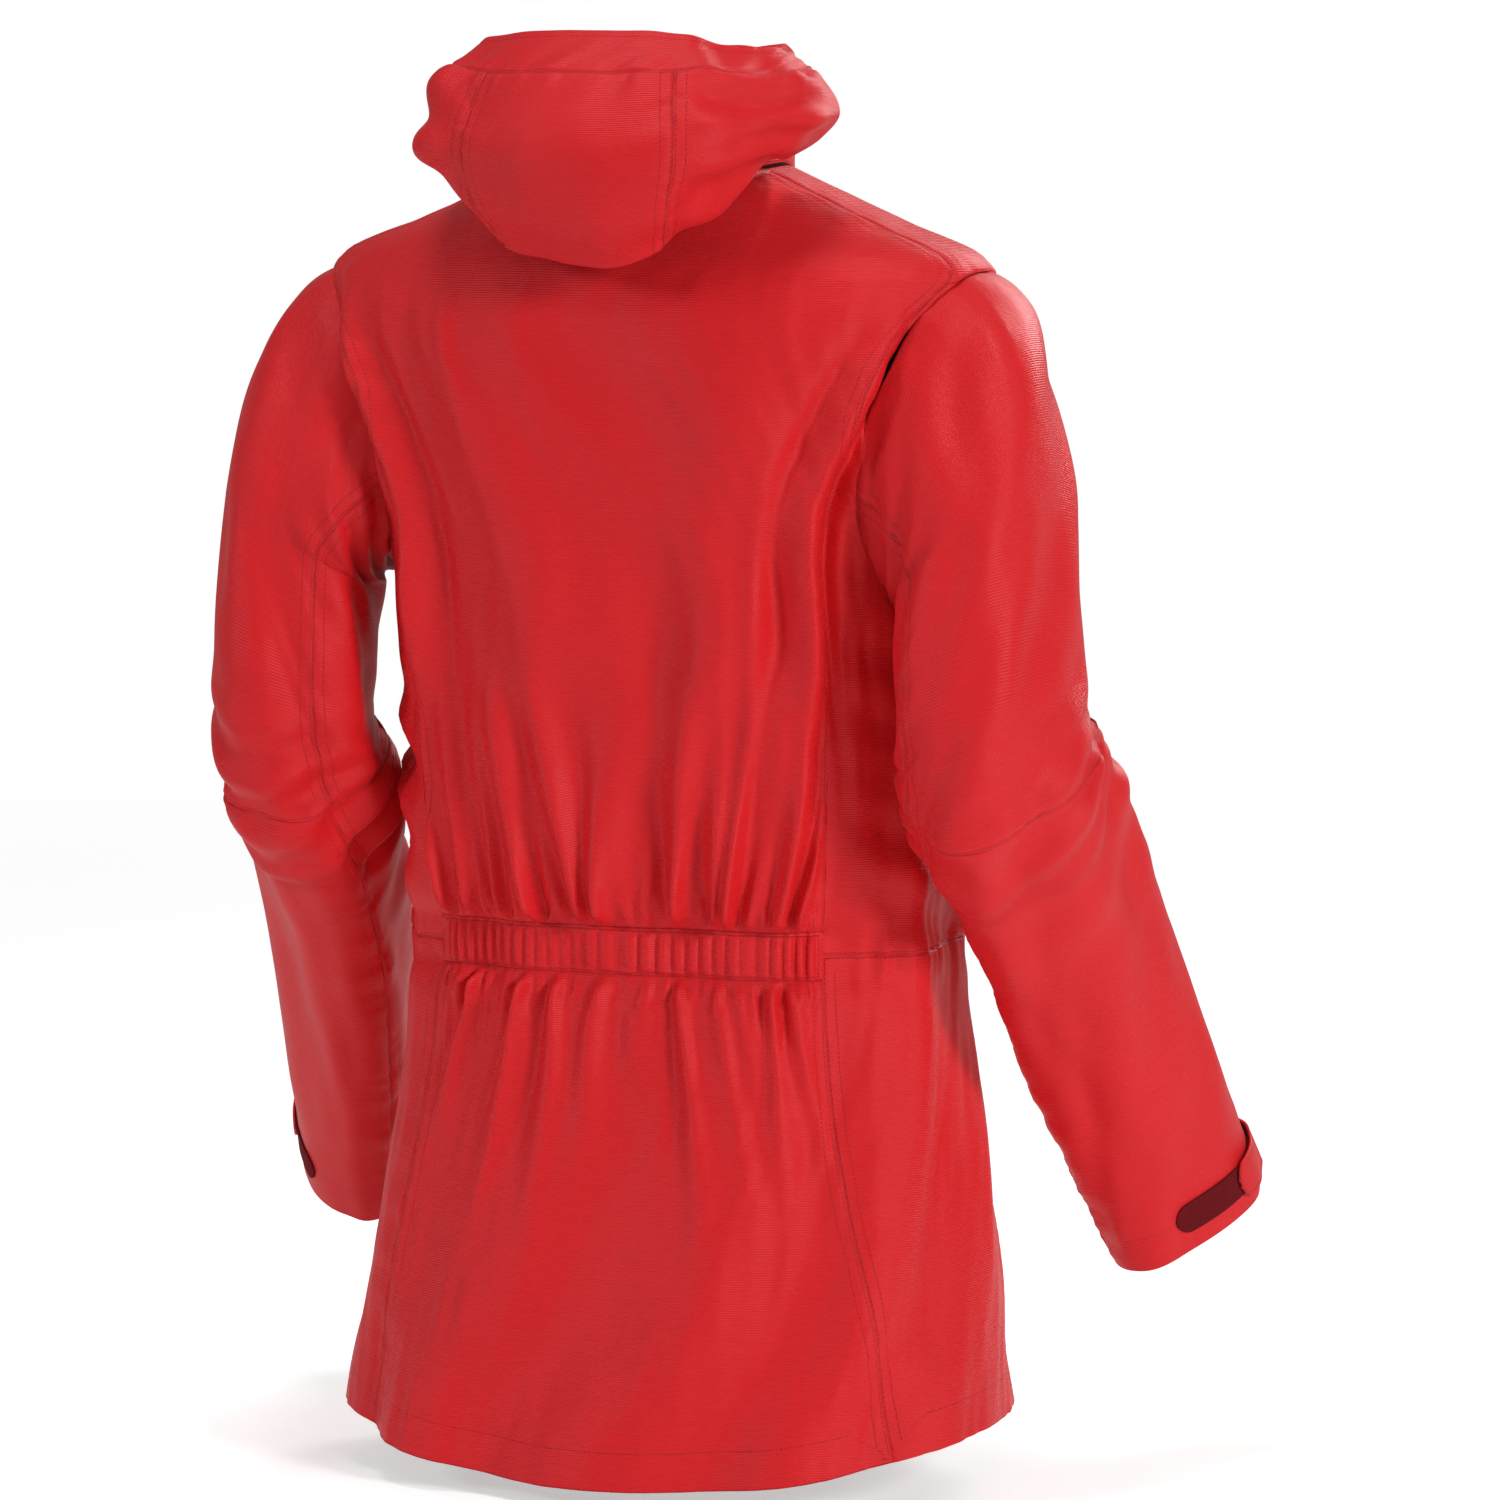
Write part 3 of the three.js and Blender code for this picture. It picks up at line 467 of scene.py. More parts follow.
def arm_point(along):
    t = np.clip(np.asarray(along, float), 0, 1) * (len(ARM) - 1)
    k = np.minimum(t.astype(int), len(ARM) - 2)
    w = (t - k)[..., None]
    points = np.vstack([2 * ARM[0] - ARM[1], ARM, 2 * ARM[-1] - ARM[-2]])
    p = [points[k + i] for i in range(4)]
    d = [np.sqrt(np.linalg.norm(p[i + 1] - p[i], axis=-1, keepdims=True)) for i in range(3)]
    m1 = ((p[1] - p[0]) / d[0] - (p[2] - p[0]) / (d[0] + d[1]) + (p[2] - p[1]) / d[1]) * d[1]
    m2 = ((p[2] - p[1]) / d[1] - (p[3] - p[1]) / (d[1] + d[2]) + (p[3] - p[2]) / d[2]) * d[1]
    curve = 2 * p[1] - 2 * p[2] + m1 + m2
    bend = -3 * p[1] + 3 * p[2] - 2 * m1 - m2
    return p[1] + m1 * w + bend * w**2 + curve * w**3


def arm_down(along):
    along = np.asarray(along, float)
    return unit(arm_point(np.minimum(along + 0.01, 1)) - arm_point(np.maximum(along - 0.01, 0)))


def sleeve_ring(turn, along, tilt=0.0):
    turn, along = np.broadcast_arrays(np.asarray(turn, float), np.asarray(along, float))
    down = arm_down(along)
    side = unit(np.array([1.0, 0, 0]) - down * down[..., :1])
    back = np.cross(side, down)
    r = np.radians(sleeve_turn(along))[..., None]
    across, behind = side * np.cos(r) + back * np.sin(r), back * np.cos(r) - side * np.sin(r)
    c = power(np.cos(np.radians(turn)), 0.9)[..., None]
    s = power(np.sin(np.radians(turn)), 0.9)[..., None]
    return (
        arm_point(along)
        + across * sleeve_side(along)[..., None] * c
        + behind * sleeve_depth(along)[..., None] * s
        - down * np.asarray(tilt)[..., None] * c
    )


def upper_base(turn, u):
    """The sleeve from the armhole, u 0, to the elbow, u 1."""
    turn, u = np.broadcast_arrays(np.asarray(turn, float), np.asarray(u, float))
    angle, h = armhole(turn, -0.0003)
    start = body_surface(angle, h, 0.0012) - np.array([0.0015, 0, 0])  # under the body panel's edge
    centre = np.stack([start[..., 0] * 0.3, np.full(turn.shape, -0.099), start[..., 2]], -1)
    outward = (start - centre) * [1, 1, 0]
    end = sleeve_ring(turn, np.zeros_like(turn), np.full(turn.shape, 0.026))
    reach = np.linalg.norm(end - start, axis=-1, keepdims=True)
    c = np.cos(np.radians(turn))[..., None]
    leave = unit(np.array([1, 0, -0.45]) + 0.85 * unit(outward)) * reach * mix(0.5, 0.85, (c + 1) / 2)
    arrive = arm_down(np.zeros_like(turn)) * reach * mix(0.5, 1.1, (c + 1) / 2)
    t = np.clip(u / 0.5, 0, 1)[..., None]
    cap = (
        start * (2 * t**3 - 3 * t**2 + 1)
        + leave * (t**3 - 2 * t**2 + t)
        + end * (3 * t**2 - 2 * t**3)
        + arrive * (t**3 - t**2)
    )
    along = ELBOW_AT * np.clip((u - 0.5) / 0.5, 0, 1)
    ring = sleeve_ring(turn, along, 0.026 * (1 - along / ELBOW_AT))
    return np.where((u < 0.5)[..., None], cap, ring)


def fore_base(turn, u):
    """The sleeve from the elbow, u 0, to the cuff, u 1."""
    return sleeve_ring(turn, mix(ELBOW_AT, 1.0, np.asarray(u, float)))


def normals(surface, a, b, da, db):
    """Outward directions of a surface whose first direction turns from the outer side to the back."""
    across = surface(a + da, b) - surface(a - da, b)
    down = surface(a, np.minimum(b + db, 1)) - surface(a, np.maximum(b - db, 0))
    return unit(np.cross(down, across))


def open_folds(turn, s, seed):
    """How far the sleeve's cloth stands off, s being the distance down it from the armhole in metres."""
    inner = smooth(np.cos(np.radians(turn - 205)), -0.3, 0.8)
    elbow = bump(s, 0.375, 0.085)
    skew = s + 0.028 * np.sin(np.radians(turn - 150)) + 0.006 * ripple(turn, 130, seed)
    out = 0.0075 * inner * elbow * ripple(skew, 0.032, seed + 1, 0.35)
    out = out + 0.0036 * (1 - inner) * elbow * ripple(skew, 0.048, seed + 2, 0.35)
    armpit = smooth(np.cos(np.radians(turn - 165)), 0.1, 0.9) * smooth(s, 0.004, 0.03)
    drag = turn / 360 * 0.30 - s * 0.55
    out = out + 0.0060 * armpit * (1 - smooth(s, 0.12, 0.24)) * ripple(drag, 0.040, seed + 3, 0.3)
    out = out + 0.0042 * smooth(s, 0.02, 0.08) * ripple(turn / 360 * 0.33 - s * 0.16, 0.075, seed + 4, 0.35)
    out = out + 0.0026 * smooth(s, 0.02, 0.10) * billow(turn / 360 * 0.33, s, 0.085, 0.20, seed + 5)
    out = out + 0.0012 * smooth(s, 0.01, 0.05) * billow(turn / 360 * 0.33, s, 0.035, 0.06, seed + 6)
    cuff = smooth(s, 0.55, 0.66)
    return out * (1 - 0.6 * cuff)


def sleeve_folds(turn, s, seed):
    """The same folds, made to meet themselves once round the sleeve."""
    past = np.mod(np.asarray(turn, float) - FRONT_TURN, 360)
    once, again = (open_folds(FRONT_TURN + past + more, s, seed) for more in (360, 0))
    return mix(once, again, smooth(past, 0.0, 60.0))


UPPER_LENGTH, FORE_LENGTH = 0.345, 0.345


def upper_surface(turn, u, seed=11, sunk=0.0):
    base = upper_base(turn, u)
    lift = sleeve_folds(turn, u * UPPER_LENGTH, seed) * smooth(u, 0.004, 0.06) - sunk
    return base + normals(upper_base, turn, u, 1.0, 0.004) * lift[..., None]


def fore_surface(turn, u, seed=11, sunk=0.0):
    base = fore_base(turn, u)
    lift = sleeve_folds(turn, UPPER_LENGTH + u * FORE_LENGTH, seed) - sunk
    return base + normals(fore_base, turn, u, 1.0, 0.004) * lift[..., None]


# ---------------------------------------------------------------- collar and hood
HOOD_RIM = 0.83
hood_half = stations(
    (0, 0.092), (0.25, 0.118), (0.46, high_of("hood_side_left").x + 0.0013), (0.75, 0.118), (1, 0.099)
)
hood_reach = stations(
    (0, 0.118), (0.25, 0.149), (0.46, high_of("hood_centre_panel").y + 0.0501), (0.75, 0.139), (1, 0.102)
)


def collar_base(angle, rise):
    angle, rise = np.broadcast_arrays(np.asarray(angle, float), np.asarray(rise, float))
    z = section_z(angle, NECK) + 0.001 + rise * 0.073
    back, front = back_y(0.80) + 0.006 * rise, front_y(z)
    c, s = np.cos(np.radians(angle)), np.sin(np.radians(angle))
    return np.stack(
        [
            (NECK_HALF + 0.003 * rise) * power(c, 0.93),
            (back + front) / 2 + (back - front) / 2 * power(s, 0.93),
            z + HEM_Z,
        ],
        -1,
    )


def hood_base(round_, rise):
    """Round 0 is the hood's left end, 90 the centre back and 180 the right end.

    Rise is 0 at the lower fold and 1 at the rim.
    """
    round_, rise = np.broadcast_arrays(np.asarray(round_, float), np.asarray(rise, float))
    c, s = np.cos(np.radians(round_)), np.sin(np.radians(round_))
    ends = np.abs(c) ** 2.2
    low, high = mix(0.747, 0.812, ends), mix(0.893, 0.879, ends)
    return np.stack(
        [
            hood_half(rise) * power(c, 0.85),
            -0.029 + (hood_reach(rise) - 0.020) * np.abs(s) ** 0.85,
            mix(low, high, rise) + HEM_Z,
        ],
        -1,
    )


def hood_folds(round_, rise):
    x, y = round_ / 180 * 0.36, rise * 0.17
    out = 0.0032 * billow(x, y, 0.10, 0.16, 71) + 0.0009 * billow(x, y, 0.035, 0.06, 72)
    right = smooth(round_, 122, 132) * (1 - smooth(round_, 168, 180))
    out = out + 0.0062 * right * ripple(y + 0.30 * x, 0.052, 73, 0.3)
    left = (1 - smooth(round_, 42, 58)) * smooth(round_, 2, 14)
    out = out + 0.0050 * left * ripple(y - 0.35 * x, 0.060, 74, 0.3)
    out = out - 0.0050 * bump(round_, 28, 7) * smooth(rise, 0.2, 0.6) + 0.0030 * bump(round_, 40, 9)
    return out * (1 - 0.55 * smooth(rise, 0.78, 0.95))


def hood_surface(round_, rise, sunk=0.0):
    base = hood_base(round_, rise)
    da = hood_base(round_ + 1, rise) - hood_base(round_ - 1, rise)
    dr = hood_base(round_, np.minimum(rise + 0.01, 1)) - hood_base(round_, np.maximum(rise - 0.01, 0))
    out = unit(np.cross(da, dr))
    return base + out * (hood_folds(round_, rise) - sunk)[..., None]


# ---------------------------------------------------------------- materials
def new_group(name, inputs, outputs):
    group = bpy.data.node_groups.new(name, "ShaderNodeTree")
    for label, kind, default in inputs:
        group.interface.new_socket(label, in_out="INPUT", socket_type=kind).default_value = default
    for label, kind in outputs:
        group.interface.new_socket(label, in_out="OUTPUT", socket_type=kind)
    tree = Tree(group)
    return tree, group.nodes.new("NodeGroupInput").outputs, group.nodes.new("NodeGroupOutput").inputs


class Tree:
    """Short ways to add and link the nodes of one tree."""

    def __init__(self, tree):
        self.tree = tree

    def put(self, socket, value):
        if isinstance(value, bpy.types.NodeSocket):
            self.tree.links.new(value, socket)
        else:
            socket.default_value = value

    def node(self, kind, inputs=None, **settings):
        node = self.tree.nodes.new(kind)
        for key, value in settings.items():
            setattr(node, key, value)
        for key, value in (inputs or {}).items():
            self.put(node.inputs[key], value)
        return node

    def math(self, operation, *values, clamp=False):
        node = self.node("ShaderNodeMath", operation=operation, use_clamp=clamp)
        for socket, value in zip(node.inputs, values):
            self.put(socket, value)
        return node.outputs[0]

    def attribute(self, name):
        return self.node("ShaderNodeAttribute", attribute_name=name).outputs["Fac"]

    def noise(self, scale, detail=3.0, vector=None):
        vector = vector or self.node("ShaderNodeTexCoord").outputs["Object"]
        inputs = {"Vector": vector, "Scale": scale, "Detail": detail}
        return self.node("ShaderNodeTexNoise", inputs).outputs["Fac"]

    def band(self, value, low, high):
        """1 where value is low or less, 0 where it is high or more."""
        inputs = {"Value": value, "From Min": low, "From Max": high, "To Min": 1.0, "To Max": 0.0}
        return self.node("ShaderNodeMapRange", inputs, clamp=True).outputs[0]

    def mix(self, factor, a, b, blend="MIX"):
        node = self.node("ShaderNodeMix", data_type="RGBA", blend_type=blend)
        for socket, value in zip([node.inputs[0], node.inputs[6], node.inputs[7]], (factor, a, b)):
            self.put(socket, value)
        return node.outputs[2]


def ribbed_cloth_group():
    """Fine level ribs over a plain weave: a height in metres, and a tone about 1 that is painted shade, darker
    where the weave is lower.
    """
    tree, given, out = new_group(
        "Ribbed cloth",
        [("Rib pitch", "NodeSocketFloat", 0.00145), ("Rib height", "NodeSocketFloat", 0.00007)],
        [("Height", "NodeSocketFloat"), ("Tone", "NodeSocketFloat")],
    )
    down, across = tree.attribute("cloth_v"), tree.attribute("cloth_u")
    wobble = tree.math("MULTIPLY", tree.math("SUBTRACT", tree.noise(60.0, 1.0), 0.5), 0.0005)
    turns = tree.math("DIVIDE", tree.math("ADD", down, wobble), given["Rib pitch"])
    rib = tree.math("SINE", tree.math("MULTIPLY", turns, 2 * math.pi))
    thread = tree.math("SINE", tree.math("MULTIPLY", across, 2 * math.pi / 0.0007))
    weave = tree.math("MULTIPLY_ADD", thread, 0.25, rib)
    tree.put(out["Height"], tree.math("MULTIPLY", weave, given["Rib height"]))
    # painted shade: the tone follows the weave's height, so the dips between ribs and threads are darker
    tree.put(out["Tone"], tree.math("MULTIPLY_ADD", weave, 0.045, 1.0))
    return tree.tree


def topstitch_group():
    """Rows of machine stitches beside the sewn edges: a mask of the thread and its height in metres."""
    tree, given, out = new_group(
        "Topstitch",
        [("Stitch length", "NodeSocketFloat", 0.0030), ("Thread", "NodeSocketFloat", 0.00042)],
        [("Thread mask", "NodeSocketFloat"), ("Height", "NodeSocketFloat")],
    )
    from_seam = tree.attribute("seam_d")
    cycle = tree.math("FRACT", tree.math("DIVIDE", tree.attribute("seam_s"), given["Stitch length"]))
    middle = tree.math("ABSOLUTE", tree.math("SUBTRACT", cycle, 0.5))
    dash = tree.band(middle, 0.30, 0.40)
    rows = 0.0
    for name in ("row_a", "row_b"):
        off = tree.math("ABSOLUTE", tree.math("SUBTRACT", from_seam, tree.attribute(name)))
        near = tree.math("DIVIDE", off, given["Thread"])
        rows = tree.math("ADD", rows, tree.band(near, 0.35, 1.0))
    mask = tree.math("MULTIPLY", rows, dash, clamp=True)
    tree.put(out["Thread mask"], mask)
    tree.put(out["Height"], tree.math("MULTIPLY", mask, 0.00022))
    return tree.tree


def cloth_tone_group():
    """Slow changes of colour over the cloth, the rubbed line along sewn edges, and painted shade in the groove
    at those edges.
    """
    tree, given, out = new_group(
        "Cloth tone",
        [("Variation", "NodeSocketFloat", 0.10), ("Edge shade", "NodeSocketFloat", 0.22)],
        [("Tone", "NodeSocketFloat"), ("Wear", "NodeSocketFloat")],
    )
    slow = tree.math("SUBTRACT", tree.noise(9.0, 3.0), 0.5)
    fine = tree.math("SUBTRACT", tree.noise(420.0, 2.0), 0.5)
    change = tree.math("MULTIPLY_ADD", fine, 0.5, slow)
    # painted shade: Edge shade darkens the cloth in the seam groove, within about 1.6 mm of a sewn edge
    groove = tree.band(tree.attribute("edge_d"), 0.0002, 0.0016)
    shade = tree.math("MULTIPLY", groove, given["Edge shade"])
    tone = tree.math("MULTIPLY_ADD", change, given["Variation"], 1.0)
    tree.put(out["Tone"], tree.math("SUBTRACT", tone, shade))
    rubbed = tree.math("MULTIPLY", tree.band(tree.attribute("edge_d"), 0.0015, 0.0075), tree.noise(160.0, 3.0))
    tree.put(out["Wear"], rubbed)
    return tree.tree


def group_node(tree, group, **inputs):
    node = tree.node("ShaderNodeGroup", node_tree=group)
    for key, value in inputs.items():
        node.inputs[key.replace("_", " ")].default_value = value
    return node.outputs


def new_material(name, **settings):
    material = bpy.data.materials.new(name)
    material.use_nodes = True
    tree = Tree(material.node_tree)
    shader = material.node_tree.nodes["Principled BSDF"]
    for key, value in settings.items():
        shader.inputs[key.replace("_", " ")].default_value = value
    return material, tree, shader


def grey(tree, value):
    """A colour that has the same value in each channel."""
    node = tree.node("ShaderNodeCombineColor")
    for socket in node.inputs[:3]:
        tree.put(socket, value)
    return node.outputs[0]


def bumped(tree, shader, height, strength=1.0):
    node = tree.node("ShaderNodeBump", {"Height": height, "Distance": 1.0, "Strength": strength})
    tree.put(shader.inputs["Normal"], node.outputs[0])


def shell_material(look, groups):
    material, tree, shader = new_material(
        "Outer cloth", Specular_IOR_Level=0.42, Sheen_Weight=0.03, Sheen_Roughness=0.35
    )
    shader.inputs["Sheen Tint"].default_value = (1.0, 0.55, 0.58, 1)
    shader.inputs["Specular Tint"].default_value = (1.0, 0.45, 0.48, 1)
    ribs = group_node(tree, groups["ribs"], Rib_pitch=look.rib_pitch)
    stitches = group_node(tree, groups["stitches"], Stitch_length=look.stitch_length)
    tone = group_node(tree, groups["tone"])
    # painted shade: the rib tone darkens the dips of the weave, and the cloth tone adds painted shade in the
    # seam grooves to its slow random changes
    colour = tree.mix(1.0, tuple(look.shell_colour) + (1,), grey(tree, ribs["Tone"]), "MULTIPLY")
    colour = tree.mix(1.0, colour, grey(tree, tone["Tone"]), "MULTIPLY")
    faded = tree.math("MULTIPLY", tone["Wear"], 0.10)
    colour = tree.mix(faded, colour, (0.86, 0.10, 0.12, 1))
    colour = tree.mix(stitches["Thread mask"], colour, tuple(look.thread_colour) + (1,))
    tree.put(shader.inputs["Base Color"], colour)
    rough = tree.math("MULTIPLY_ADD", tree.noise(26.0, 2.0), 0.14, 0.36)
    tree.put(shader.inputs["Roughness"], tree.math("MULTIPLY_ADD", tone["Wear"], 0.15, rough))
    height = tree.math("ADD", ribs["Height"], stitches["Height"])
    crinkle = tree.math("MULTIPLY", tree.noise(150.0, 3.0), 0.00035)
    bumped(tree, shader, tree.math("ADD", height, crinkle))
    return material


def plain_cloth_material(name, colour, groups, roughness, pitch, height, sheen=0.15):
    material, tree, shader = new_material(name, Sheen_Weight=sheen, Sheen_Roughness=0.5)
    ribs = group_node(tree, groups["ribs"], Rib_pitch=pitch, Rib_height=height)
    stitches = group_node(tree, groups["stitches"])
    # painted shade: the rib tone darkens the dips of the weave, and the cloth tone with Edge shade 0.2 darkens
    # the seam grooves
    tone = group_node(tree, groups["tone"], Edge_shade=0.2)
    shade = tree.mix(1.0, tuple(colour) + (1,), grey(tree, ribs["Tone"]), "MULTIPLY")
    shade = tree.mix(1.0, shade, grey(tree, tone["Tone"]), "MULTIPLY")
    shade = tree.mix(stitches["Thread mask"], shade, tuple(c * 0.6 for c in colour) + (1,))
    tree.put(shader.inputs["Base Color"], shade)
    tree.put(shader.inputs["Roughness"], tree.math("MULTIPLY_ADD", tree.noise(70.0, 2.0), 0.12, roughness))
    bumped(tree, shader, tree.math("ADD", ribs["Height"], stitches["Height"]))
    return material


def fuzzy_material(name, colour):
    material, tree, shader = new_material(name, Roughness=0.95, Specular_IOR_Level=0.1, Sheen_Weight=0.12)
    shader.inputs["Sheen Tint"].default_value = (1.0, 0.2, 0.2, 1)
    loops = tree.noise(1500.0, 4.0)
    tufts = tree.noise(420.0, 3.0)
    # painted shade: dark goes where the loops noise, and with it the bump, is low, so the dips between loops are
    # darker
    dark = tuple(c * 0.45 for c in colour) + (1,)
    tree.put(shader.inputs["Base Color"], tree.mix(loops, dark, tuple(colour) + (1,)))
    bumped(tree, shader, tree.math("MULTIPLY_ADD", tufts, 0.0008, tree.math("MULTIPLY", loops, 0.0005)))
    return material


def coil_material(name, colour):
    material, tree, shader = new_material(name, Coat_Weight=0.15)
    pale = tuple(min(1, c * 1.5 + 0.02) for c in colour) + (1,)
    tree.put(shader.inputs["Base Color"], tree.mix(tree.noise(300.0, 3.0), tuple(colour) + (1,), pale))
    tree.put(shader.inputs["Roughness"], tree.math("MULTIPLY_ADD", tree.noise(900.0, 2.0), 0.2, 0.32))
    return material


def metal_material(name, colour):
    material, tree, shader = new_material(name, Metallic=0.85, Coat_Weight=0.1)
    worn = tree.band(tree.noise(240.0, 4.0), 0.36, 0.44)
    pale = tuple(min(1, c * 1.9) for c in colour) + (1,)
    tree.put(shader.inputs["Base Color"], tree.mix(worn, tuple(colour) + (1,), pale))
    tree.put(shader.inputs["Roughness"], tree.math("MULTIPLY_ADD", tree.noise(600.0, 2.0), 0.25, 0.22))
    bumped(tree, shader, tree.math("MULTIPLY", tree.noise(1200.0, 2.0), 0.00004))
    return material


MATERIALS = {}


def make_materials():
    if MATERIALS:
        return MATERIALS
    look = bpy.context.scene.jacket_look
    groups = {"ribs": ribbed_cloth_group(), "stitches": topstitch_group(), "tone": cloth_tone_group()}
    lining, trim = tuple(look.lining_colour), tuple(look.trim_colour)
    band = tuple(c * 0.9 for c in trim)
    MATERIALS.update(
        shell=shell_material(look, groups),
        lining=plain_cloth_material("Lining", lining, groups, 0.62, 0.0011, 0.00003),
        tape=plain_cloth_material("Woven tape", trim, groups, 0.7, 0.0009, 0.00012),
        elastic=plain_cloth_material("Woven elastic", band, groups, 0.75, 0.0016, 0.0002),
        fuzz=fuzzy_material("Loop pile", look.loop_colour),
        coil=coil_material("Zip coil", trim),
        metal=metal_material("Satin metal", look.metal_colour),
    )
    return MATERIALS


def dress(obj, nodes, body=None, bend=None):
    """Hides the frame parts a cloth piece stands for, then hangs it under the named body, or, when bend is
    given, only bakes its place.
    """
    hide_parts(*nodes)
    if bend:
        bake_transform(obj)
    else:
        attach(obj, body)
    return obj


def body_piece(name, node, angle, h, seams, rows, inner="lining", pucker=1.0, tuck=0.0):
    """A body panel from grids of angles and heights."""
    points = body_surface(angle, h)
    inside = np.stack([points[..., 0] * 0.3, np.full(h.shape, -0.099), np.minimum(points[..., 2], -0.06)], -1)
    m = make_materials()
    grain = (half_width(h) * np.radians(angle), section_z(angle, h))
    obj = cloth_piece(
        name, points, inside, [m["shell"], m[inner]], seams, rows, pucker=pucker, grain=grain, tuck=tuck
    )
    return dress(obj, [node], "shell")


def grid_of(low, high, left, right, step_down, step_across, width):
    """Angles and heights over a panel whose left and right edges are angles that change with the height."""
    u = spaced(high - low, step_down)[:, None]
    v = spaced(width, step_across)[None, :]
    h = mix(low, high, u) + 0 * v
    return mix(left(h), right(h), v), h


SEAM = -0.0006  # panels lap over their seam line by this much
DOUBLE = (0.0020, 0.0085)  # the two rows of a double topstitch, from the seam
SINGLE = (0.0020, -1)
OFF = (-1, -1)


def seam_angle(h, gap=SEAM):
    return np.degrees(gap / half_width(h))


def front_angle(distance, h):
    return -90 + np.degrees(np.arcsin((distance / half_width(h)) ** (squareness(h) / 2)))


def swap(side, angle):
    return angle if side == "left" else 180 - angle


# ---------------------------------------------------------------- settings
class JacketLook(bpy.types.PropertyGroup):
    """Sizes and colours that can be changed before the pieces are made."""

    rib_pitch: bpy.props.FloatProperty(
        name="Rib pitch", description="Distance between two ribs of the shell cloth", default=0.00145,
        min=0.0005, max=0.004, unit="LENGTH", precision=5,
    )
    stitch_length: bpy.props.FloatProperty(
        name="Stitch length", description="Length of one topstitch with its gap", default=0.0030,
        min=0.001, max=0.008, unit="LENGTH", precision=5,
    )
    shell_colour: bpy.props.FloatVectorProperty(
        name="Shell colour", description="Colour of the outer cloth", subtype="COLOR",
        default=(0.74, 0.017, 0.022), min=0, max=1,
    )
    thread_colour: bpy.props.FloatVectorProperty(
        name="Thread colour", description="Colour of the topstitches", subtype="COLOR",
        default=(0.50, 0.018, 0.022), min=0, max=1,
    )
    lining_colour: bpy.props.FloatVectorProperty(
        name="Lining colour", description="Colour of the inner face and facings", subtype="COLOR",
        default=(0.30, 0.012, 0.016), min=0, max=1,
    )
    trim_colour: bpy.props.FloatVectorProperty(
        name="Trim colour", description="Colour of tapes, coils and elastic", subtype="COLOR",
        default=(0.34, 0.012, 0.016), min=0, max=1,
    )
    loop_colour: bpy.props.FloatVectorProperty(
        name="Loop tape colour", description="Colour of the cuff's loop patch", subtype="COLOR",
        default=(0.20, 0.010, 0.014), min=0, max=1,
    )
    metal_colour: bpy.props.FloatVectorProperty(
        name="Metal colour", description="Colour of sliders and pulls", subtype="COLOR",
        default=(0.16, 0.16, 0.17), min=0, max=1,
    )


# ---------------------------------------------------------------- operators
class JACKET_OT_back(bpy.types.Operator):
    """Makes the upper and lower back panels and the gathered waistband between them"""

    bl_idname = "jacket.back"
    bl_label = "Back panels"

    def execute(self, context):
        def left(h):
            return back_seam(h) + seam_angle(h)

        def right(h):
            return 180 - left(h)

        edges = {"c": DOUBLE, "d": DOUBLE}
        angle, h = grid_of(WAIST_TOP + 0.0002, NECK, left, right, 0.0032, 0.0014, 0.30)
        body_piece("back_upper_cloth", "back_panel_upper", angle, h, "abcd", {**edges, "b": SINGLE})
        angle, h = grid_of(WAIST_LOW - 0.0006, WAIST_TOP + 0.0006, left, right, 0.0012, 0.0011, 0.30)
        body_piece(
            "waistband_cloth", "waistband_casing", angle, h, "ab",
            {"a": (0.0026, -1), "b": (0.0026, -1), "c": (0.004, -1), "d": (0.004, -1)},
            pucker=0.5, tuck=TUCK,
        )
        angle, h = grid_of(0.0, WAIST_LOW + 0.0003, left, right, 0.0034, 0.0014, 0.30)
        body_piece("back_lower_cloth", "back_panel_lower", angle, h, "bcd", {**edges, "a": (0.024, 0.0005)})
        return {"FINISHED"}


